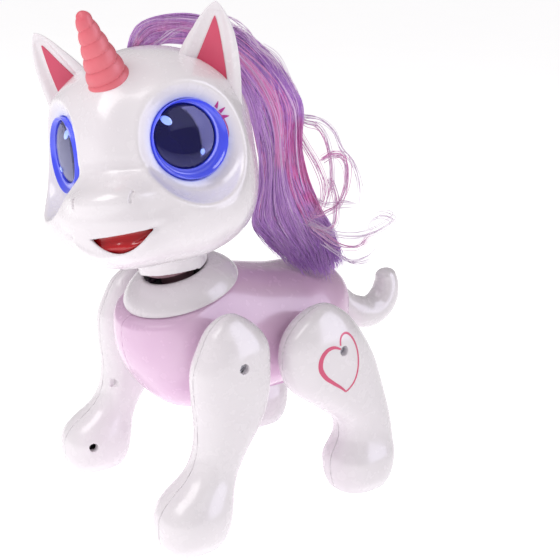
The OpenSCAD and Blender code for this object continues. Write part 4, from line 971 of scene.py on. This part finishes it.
# ------------------------------------------------------------------ hair
GUIDES = [
    [[-24.9, -35.0, 252.2], [-25.9, -24.6, 254.4], [-26.7, -10.3, 253.4], [-26.9, 4.0, 247.5], [-24.3, 15.7, 236.2], [-19.4, 22.1, 222.4], [-13.3, 25.7, 207.0], [-9.0, 26.4, 190.5], [-5.4, 24.2, 173.9], [-4.9, 19.9, 161.1], [-4.1, 18.1, 152.1], [0.5, 22.0, 144.2], [7.2, 28.7, 136.5], [15.0, 35.9, 130.1]],
    [[-24.1, -40.9, 252.5], [-26.0, -30.6, 256.7], [-26.6, -15.4, 256.7], [-25.8, 0.7, 252.0], [-24.0, 15.5, 241.8], [-19.4, 24.7, 227.3], [-13.1, 28.9, 212.5], [-6.8, 28.9, 196.3], [-2.9, 27.2, 179.8], [-0.8, 24.6, 166.0], [1.6, 23.8, 154.9], [7.5, 27.6, 143.8], [14.4, 34.1, 135.0], [20.1, 39.5, 127.2]],
    [[-23.3, -44.9, 252.7], [-26.4, -35.3, 258.9], [-26.4, -20.5, 260.0], [-24.8, -2.5, 256.5], [-22.9, 14.7, 247.4], [-17.8, 26.3, 233.0], [-11.1, 31.5, 218.8], [-3.8, 31.5, 203.4], [1.2, 29.1, 186.1], [4.6, 27.6, 171.4], [8.0, 29.0, 158.5], [13.8, 33.6, 145.6], [19.8, 39.4, 134.3], [24.9, 43.0, 124.9]],
    [[-22.6, -47.7, 252.3], [-26.0, -39.1, 260.6], [-26.9, -25.1, 262.7], [-24.2, -6.7, 260.4], [-22.2, 12.9, 252.4], [-16.2, 26.5, 239.3], [-8.5, 33.0, 225.2], [0.2, 33.3, 210.1], [4.8, 31.1, 194.0], [8.2, 31.1, 178.6], [11.8, 33.8, 164.5], [17.1, 38.8, 150.4], [23.7, 44.2, 136.9], [29.0, 46.4, 124.2]],
    [[-21.7, -49.9, 252.5], [-25.1, -42.5, 261.7], [-25.8, -29.4, 265.0], [-23.7, -9.6, 263.7], [-21.3, 10.9, 256.4], [-15.1, 25.6, 244.9], [-6.2, 34.0, 231.0], [3.2, 35.8, 217.0], [7.8, 33.6, 201.0], [10.9, 33.1, 185.7], [14.2, 36.7, 170.4], [19.3, 42.6, 155.1], [26.6, 48.3, 140.6], [31.7, 50.0, 127.3]],
    [[-21.4, -51.2, 252.6], [-24.6, -45.1, 262.3], [-24.7, -32.5, 266.4], [-23.0, -12.5, 266.4], [-20.5, 9.0, 260.8], [-15.0, 25.5, 251.0], [-5.1, 35.1, 237.2], [5.7, 38.7, 222.7], [9.6, 38.8, 213.2], [11.5, 37.2, 198.4], [15.6, 39.0, 177.9], [21.1, 44.6, 161.0], [28.2, 51.2, 145.3], [34.2, 53.6, 130.9]],
]
WISPS = [
    (1, [[1.0, 42.4, 215.1], [3.7, 44.7, 212.5], [9.5, 51.7, 211.1], [15.7, 57.1, 205.3], [21.3, 59.6, 195.7], [26.8, 63.5, 188.8], [31.8, 64.9, 178.7], [35.0, 63.6, 167.9], [36.0, 60.9, 160.3]]),
    (2, [[1.6, 42.0, 213.0], [5.1, 44.9, 209.6], [9.7, 50.3, 207.8], [14.5, 53.2, 201.1], [19.2, 53.6, 189.6], [23.1, 51.8, 176.2], [24.1, 47.1, 164.8], [22.3, 40.9, 157.7]]),
    (3, [[16.5, 49.9, 189.6], [19.1, 55.0, 192.6], [23.0, 59.8, 191.7], [26.4, 60.4, 184.1], [28.6, 57.4, 172.6], [28.3, 52.8, 164.9], [26.2, 48.2, 161.6], [22.7, 42.0, 158.8], [18.9, 37.7, 160.3]]),
    (2, [[4.3, 41.7, 205.5], [9.5, 44.4, 196.9], [15.9, 47.7, 186.8], [21.1, 49.0, 176.1], [23.0, 46.5, 166.4], [22.0, 41.1, 158.7], [20.1, 37.6, 157.0]]),
    (2, [[21.8, 52.0, 179.9], [26.2, 52.9, 170.3], [28.5, 51.5, 161.7], [29.7, 49.6, 155.2], [28.3, 46.3, 152.4], [24.9, 41.9, 152.9], [20.7, 37.9, 156.0]]),
    (1, [[20.8, 44.6, 168.5], [23.7, 47.4, 166.4], [29.5, 55.1, 166.1], [35.1, 62.8, 166.3]]),
    (1, [[20.7, 37.9, 156.0], [24.6, 42.1, 153.9], [30.3, 47.9, 150.3], [37.4, 56.7, 148.9], [43.2, 65.7, 150.8], [47.4, 74.0, 155.8], [48.6, 77.0, 158.6], [45.7, 74.2, 160.6], [43.0, 69.9, 159.5], [42.2, 66.3, 154.5], [46.0, 70.0, 151.9], [47.5, 73.0, 153.6]]),
    (2, [[22.9, 39.2, 152.8], [28.5, 44.3, 148.1], [34.5, 49.9, 143.4], [40.7, 58.0, 142.8], [43.1, 63.8, 147.7], [45.1, 69.2, 152.5]]),
    (1, [[29.7, 43.6, 143.8], [34.5, 47.9, 139.6], [41.1, 54.4, 134.9], [45.8, 62.1, 137.3], [47.3, 66.4, 141.7]]),
    (1, [[-25.2, -1.6, 266.0], [-20.7, 5.2, 267.2], [-16.1, 10.1, 264.8], [-8.3, 16.7, 257.2], [-4.4, 18.1, 249.9]]),
    (1, [[-22.8, 13.2, 261.1], [-16.7, 19.8, 258.1], [-9.1, 25.5, 249.3], [-3.8, 29.9, 244.1], [1.3, 31.9, 234.7]]),
    (1, [[-14.7, 29.3, 250.8], [-8.4, 34.6, 244.6], [-0.7, 38.9, 233.0], [4.8, 41.4, 223.5], [8.4, 41.1, 213.9]]),
    (1, [[-26.3, -35.4, 251.6], [-25.1, -32.4, 254.2], [-23.0, -27.4, 258.4], [-19.6, -20.8, 262.1]]),
]


NG = 56
GR = np.array([resample(g, NG) for g in GUIDES])            # (guides, points, 3)
ACROSS = unit(GR[-1, 30] - GR[0, 30])
BACK = unit([-0.768, 0.566, -0.1])


def flow(w):
    """the path a share w of the way from the head side to the outer side"""
    x = np.clip(w, 0, 1) * (len(GR) - 1); i = np.minimum(x.astype(int), len(GR) - 2); f = (x - i)[:, None, None]
    return GR[i] * (1 - f) + GR[i + 1] * f


def tubes(paths, radii, sides=4):
    """closed tapered tubes along (n, m, 3) paths with (n, m) radii, all in one mesh"""
    n, m, _ = paths.shape
    T = np.gradient(paths, axis=1); T /= np.maximum(np.linalg.norm(T, axis=2, keepdims=True), 1e-9)
    ref = np.array([0.3, 0.5, 0.81]); A = np.cross(T, ref); A /= np.maximum(np.linalg.norm(A, axis=2, keepdims=True), 1e-9); B = np.cross(T, A)
    th = np.arange(sides) * 2 * math.pi / sides
    R = paths[:, :, None] + radii[:, :, None, None] * (np.cos(th)[:, None] * A[:, :, None] + np.sin(th)[:, None] * B[:, :, None])
    V = R.reshape(-1, 3); base = (np.arange(n) * m * sides)[:, None, None]
    i, j = np.meshgrid(np.arange(m - 1), np.arange(sides), indexing="ij")
    q = np.stack([i * sides + j, i * sides + (j + 1) % sides, (i + 1) * sides + (j + 1) % sides, (i + 1) * sides + j], -1).reshape(1, -1, 4)
    F4 = (q + base).reshape(-1, 4)
    c0 = (np.arange(sides)[::-1][None] + base[:, :, 0]); c1 = ((m - 1) * sides + np.arange(sides)[None] + base[:, :, 0])
    return V, [F4, np.concatenate([c0, c1])]


def hair_mat(name, stops, rough=0.36):
    """stops: colours by height, low to high"""
    m, nt, p = new_mat(name)
    tc = nt.nodes.new("ShaderNodeTexCoord"); sp = nt.nodes.new("ShaderNodeSeparateXYZ"); nt.links.new(tc.outputs["Object"], sp.inputs[0])
    h = map_range(nt, sp.outputs["Z"], 0.12, 0.27, 0.0, 1.0, "LINEAR")
    h = math_node(nt, "ADD", h, map_range(nt, noise(nt, 60.0, 3.0), 0.3, 0.7, -0.09, 0.09))
    col = ramp(nt, h, stops)
    streak = noise(nt, 900.0, 2.0, 0.6, scale3=(1, 1, 0.12))
    col = mix(nt, map_range(nt, streak, 0.35, 0.7, 0.0, 0.55), col, mix(nt, 0.5, col, srgb(242, 212, 246)))
    nt.links.new(col, p.inputs["Base Color"])
    nt.links.new(map_range(nt, noise(nt, 300.0, 2.0), 0.3, 0.7, rough - 0.05, rough + 0.08), p.inputs["Roughness"])
    p.inputs["Specular IOR Level"].default_value = 0.55
    p.inputs["Anisotropic"].default_value = 0.4
    p.inputs["Sheen Weight"].default_value = 0.15
    return m


LILAC, PINKH, MAG = srgb(204, 150, 228), srgb(238, 150, 214), srgb(226, 96, 184)
PALE, DEEP, VIO = srgb(236, 208, 246), srgb(132, 72, 172), srgb(180, 118, 214)
HM = {
    "a": hair_mat("hair_lilac", [(0.0, VIO), (0.3, LILAC), (0.65, LILAC), (0.9, srgb(196, 120, 206))]),
    "b": hair_mat("hair_pink", [(0.0, VIO), (0.32, LILAC), (0.55, PINKH), (0.85, PINKH), (1.0, srgb(206, 130, 206))]),
    "c": hair_mat("hair_magenta", [(0.0, VIO), (0.2, LILAC), (0.36, MAG), (0.55, srgb(196, 84, 172)), (0.72, VIO), (0.95, srgb(186, 124, 204))]),
    "d": hair_mat("hair_pale_painted_highlight", [(0.0, srgb(190, 150, 220)), (0.4, PALE), (0.9, srgb(232, 196, 236))]),
    "e": hair_mat("hair_shadow", [(0.0, srgb(110, 56, 150)), (0.4, srgb(120, 62, 158)), (1.0, DEEP)], 0.5),
    "w": hair_mat("hair_wisp", [(0.0, srgb(214, 196, 222)), (0.4, srgb(226, 206, 228)), (1.0, srgb(226, 200, 232))]),
    "x": hair_mat("hair_wisp_pink", [(0.0, srgb(222, 160, 206)), (0.5, srgb(226, 150, 204)), (1.0, srgb(226, 180, 222))]),
}
KL = 46
lock_w = (np.arange(KL) * 0.618034) % 1.0
lock_o = rng.uniform(0.0, 8.5, KL); lock_o[:16] = rng.uniform(0, 2.0, 16)
lock_a = rng.uniform(0.7, 2.6, KL); lock_f = rng.uniform(1.2, 2.6, KL); lock_p = rng.uniform(0, 2 * math.pi, KL)
NS = 2600
sl = rng.integers(0, KL, NS)
w = np.clip(lock_w[sl] + rng.normal(0, 0.035, NS), -0.02, 1.02)
P = flow(w)
u = np.linspace(0, 1, NG)
bulk = np.interp(u, [0, 0.12, 0.3, 0.5, 0.75, 0.92, 1], [0.35, 0.7, 1, 1.1, 1.0, 0.8, 0.55])
wave = lock_a[sl][:, None] * np.sin(2 * math.pi * lock_f[sl][:, None] * u + lock_p[sl][:, None]) * np.clip(u * 4, 0, 1)
wave2 = lock_a[sl][:, None] * 0.6 * np.cos(2 * math.pi * lock_f[sl][:, None] * 0.8 * u + 2 * lock_p[sl][:, None])
r_in = np.sqrt(rng.uniform(0, 1, NS)); a_in = rng.uniform(0, 2 * math.pi, NS)
fz = rng.uniform(0.8, 2.2, NS)[:, None]; fp = rng.uniform(0, 6.28, NS)[:, None]
fr = rng.uniform(0.05, 0.45, NS)[:, None] * np.sin(2 * math.pi * fz * 2 * u + fp) + rng.uniform(0, 0.12, NS)[:, None] * np.sin(2 * math.pi * fz * 7 * u + fp)
P = P + ACROSS * ((wave + (r_in * np.cos(a_in))[:, None] * 1.7 * bulk + fr)[..., None])
depth = (lock_o[sl][:, None] + 1.3) * np.interp(u, [0, 0.15, 0.4, 1], [0.35, 0.7, 1, 0.8]) + (r_in * np.sin(a_in))[:, None] * 1.4 * bulk + wave2 * 0.6
P = P + BACK * depth[..., None]
# ends thin out and spread at the tip
end = rng.uniform(0.90, 1.0, NS)
idx = np.linspace(0, 1, NG)[None] * end[:, None] * (NG - 1); i0 = np.minimum(idx.astype(int), NG - 2); ff = (idx - i0)[..., None]
P = np.take_along_axis(P, i0[..., None], 1) * (1 - ff) + np.take_along_axis(P, (i0 + 1)[..., None], 1) * ff
spread = np.clip((np.linspace(0, 1, NG) - 0.86) / 0.14, 0, 1) ** 1.6
P = P + spread[None, :, None] * rng.normal(0, 1.5, (NS, 1, 3))
rad = rng.uniform(0.20, 0.33, NS)[:, None] * np.interp(u, [0, 0.05, 0.85, 1], [0.7, 1, 1, 0.25])[None]
deepness = lock_o[sl] / 8.5
group = np.where(w < 0.36, "a", np.where(w < 0.70, "b", "c"))
pick = rng.uniform(0, 1, NS)
# about one strand in eight takes the pale hair colour, a painted highlight scattered through the mane
group = np.where(pick < 0.13, "d", group)
# the deepest strands take the hair_shadow colour, painted shade; a few others take it at random
group = np.where((deepness > 0.86) | (pick > 0.97), "e", group)
group = np.where((pick > 0.60) & (pick < 0.70), rng.choice(["a", "b", "c"], NS), group)
first = True
for k in "abcde":
    sel = group == k
    V, F = tubes(P[sel], rad[sel])
    V[:, 2] = np.maximum(V[:, 2], 118)
    me = make_mesh("h", V, F); flip_if_inside_out(me); smooth(me)
    place("mane_strands_" + k, me, HM[k], "head", ["mane"] if first else ()); first = False

# the mass under the strands; its dark hair_shadow colour is painted shade
U = np.linspace(0, 1, NG)
rows = []
mid = GR.mean(0); ga, gb = GR[0], GR[-1]
for i in range(0, NG - 2):
    c = (ga[i] + gb[i]) / 2; hw = (gb[i] - ga[i]) / 2; tk = np.interp(U[i], [0, 0.15, 0.4, 0.8, 1], [1.5, 3.0, 4.2, 3.6, 1.2])
    t = np.arange(40) * 2 * math.pi / 40
    shr = np.interp(U[i], [0, 0.1, 0.85, 1], [0.6, 0.86, 0.86, 0.5])
    cc = np.array([GR[:, i]][0]); x = (np.cos(t) * shr + 1) / 2 * (len(GR) - 1); k = np.minimum(x.astype(int), len(GR) - 2); f = (x - k)[:, None]
    base = cc[k] * (1 - f) + cc[k + 1] * f
    rows.append(base + BACK * (tk + 2.6 + tk * np.sin(t) + 0.35 * np.sin(9 * t + 0.4 * i))[:, None])
V, F = strip(np.array(rows), cap0=rows[0].mean(0), cap1=rows[-1].mean(0))
me = make_mesh("core", V, F); outward(me); smooth(me, 60)
place("mane_core", me, HM["e"], "head", ["hair_plug"])

# loose wisps
wp, wr, wk = [], [], []
for kind, pts in WISPS:
    base = resample(pts, NG)
    n = {1: 8, 2: 12, 3: 18}[kind]
    for q in range(n):
        off = rng.normal(0, 0.9, 3); sc = rng.normal(0, 0.035)
        c = base.mean(0); g = (base - c) * (1 + sc) + c + off
        g += (rng.normal(0, 0.5, 3) * np.sin(np.linspace(0, math.pi * rng.uniform(1, 3), NG))[:, None])
        e = rng.uniform(0.8, 1.0); idx = np.linspace(0, e, NG) * (NG - 1); g = np.stack([np.interp(idx, np.arange(NG), g[:, k]) for k in range(3)], 1)
        wp.append(g); wr.append(rng.uniform(0.11, 0.19) * np.interp(u, [0, 0.8, 1], [1, 1, 0.3])); wk.append("x" if kind > 1 and rng.uniform() < 0.6 else "w")
wp, wr, wk = np.array(wp), np.array(wr), np.array(wk)
for k in "wx":
    V, F = tubes(wp[wk == k], wr[wk == k])
    me = make_mesh("wisp", V, F); flip_if_inside_out(me); smooth(me)
    place("mane_wisps_" + k, me, HM[k], "head", ())


# ------------------------------------------------------------------ CAD nodes that stay as they are
neck_mat, nt, p, col = plastic("neck_plastic", srgb(128, 92, 104), srgb(146, 108, 120), 0.4, 0.55, coat=0.0, bumps=0.05)
CAD_MATS = {
    "hair_plug": "hair", "neck_post": neck_mat, "neck_gear": grey_nylon, "neck_bearing": grey_nylon, "neck_motor": steel, "neck_pinion": steel,
    "main_board": board_mat, "eye_led_boards": board_mat, "battery_pack": battery_wrap, "battery_door": pink, "body_screws": steel, "speaker": dark_plastic,
    "charge_socket": dark_plastic, "power_switch_knob": dark_plastic, "hip_axles": steel}
plug_mat, nt, p, col = plastic("hair_plug_pink", srgb(196, 120, 190), srgb(214, 140, 206), 0.5, 0.7, coat=0.0, bumps=0.3)
for n_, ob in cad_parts.items():
    if ob.hide_render:
        continue
    m = CAD_MATS.get(n_)
    if m == "hair":
        m = plug_mat
    if m is None:
        m = (sole_grey if n_.endswith("_sole") else rubber if n_.endswith("_tyre") else steel if n_.endswith(("_screws", "_motor")) else
             grey_nylon if n_.endswith(("_wheel", "_pinion")) and n_.startswith("rear") else dark_plastic)
    ob.data.materials.clear(); ob.data.materials.append(m)

# ------------------------------------------------------------------ floor and light
floor_me = make_mesh("floor", [(-30000, -30000, 0), (30000, -30000, 0), (30000, 30000, 0), (-30000, 30000, 0)], [[(0, 1, 2, 3)]])
floor = bpy.data.objects.new("floor", floor_me); scene.collection.objects.link(floor)
fm, nt, p = new_mat("floor")
nt.links.new(ramp(nt, noise(nt, 6.0, 2.0), [(0.3, (0.93, 0.93, 0.935, 1)), (0.7, (0.95, 0.95, 0.955, 1))]), p.inputs["Base Color"])
nt.links.new(map_range(nt, noise(nt, 9.0, 2.0), 0.3, 0.7, 0.75, 0.85), p.inputs["Roughness"])
p.inputs["Specular IOR Level"].default_value = 0.1
p.inputs["Emission Color"].default_value = (1, 1, 1, 1); p.inputs["Emission Strength"].default_value = 0.62
floor_me.materials.append(fm)
floor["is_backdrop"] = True

world = bpy.data.worlds.new("World"); scene.world = world; world.use_nodes = True
bg = world.node_tree.nodes["Background"]; bg.inputs[0].default_value = (1.0, 0.97, 0.985, 1); bg.inputs[1].default_value = 0.38


def area(name, az, el, dist, size, power, color=(1, 1, 1), sy=None, target=(0, 0, 120), diffuse=True, glossy=True):
    L = bpy.data.lights.new(name, "AREA"); L.energy = power; L.color = color; L.shape = "RECTANGLE"; L.size = size * MM; L.size_y = (sy or size) * MM
    ob = bpy.data.objects.new(name, L); scene.collection.objects.link(ob)
    az, el = math.radians(az), math.radians(el)
    d = Vector((math.sin(az) * math.cos(el), -math.cos(az) * math.cos(el), math.sin(el)))
    ob.location = (Vector(target) + d * dist) * MM
    ob.rotation_euler = d.to_track_quat("Z", "Y").to_euler()
    ob.visible_camera = False
    ob.visible_diffuse = diffuse; ob.visible_glossy = glossy
    ob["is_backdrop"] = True
    return ob


area("key", -2, 55, 1500, 900, 11.0, (1, 0.99, 0.985))
area("side", 128, 24, 1200, 850, 15.0, (0.84, 0.82, 1.0), sy=1500, diffuse=False)
area("fill", 100, 40, 1500, 900, 1.6)

scene.view_settings.view_transform = "Standard"
scene.view_settings.exposure = 0.0

lo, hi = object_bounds()
{"cad_lo": list(map(float, CAD_LO)), "cad_hi": list(map(float, CAD_HI)), "scene_lo": list(map(float, lo)), "scene_hi": list(map(float, hi))}
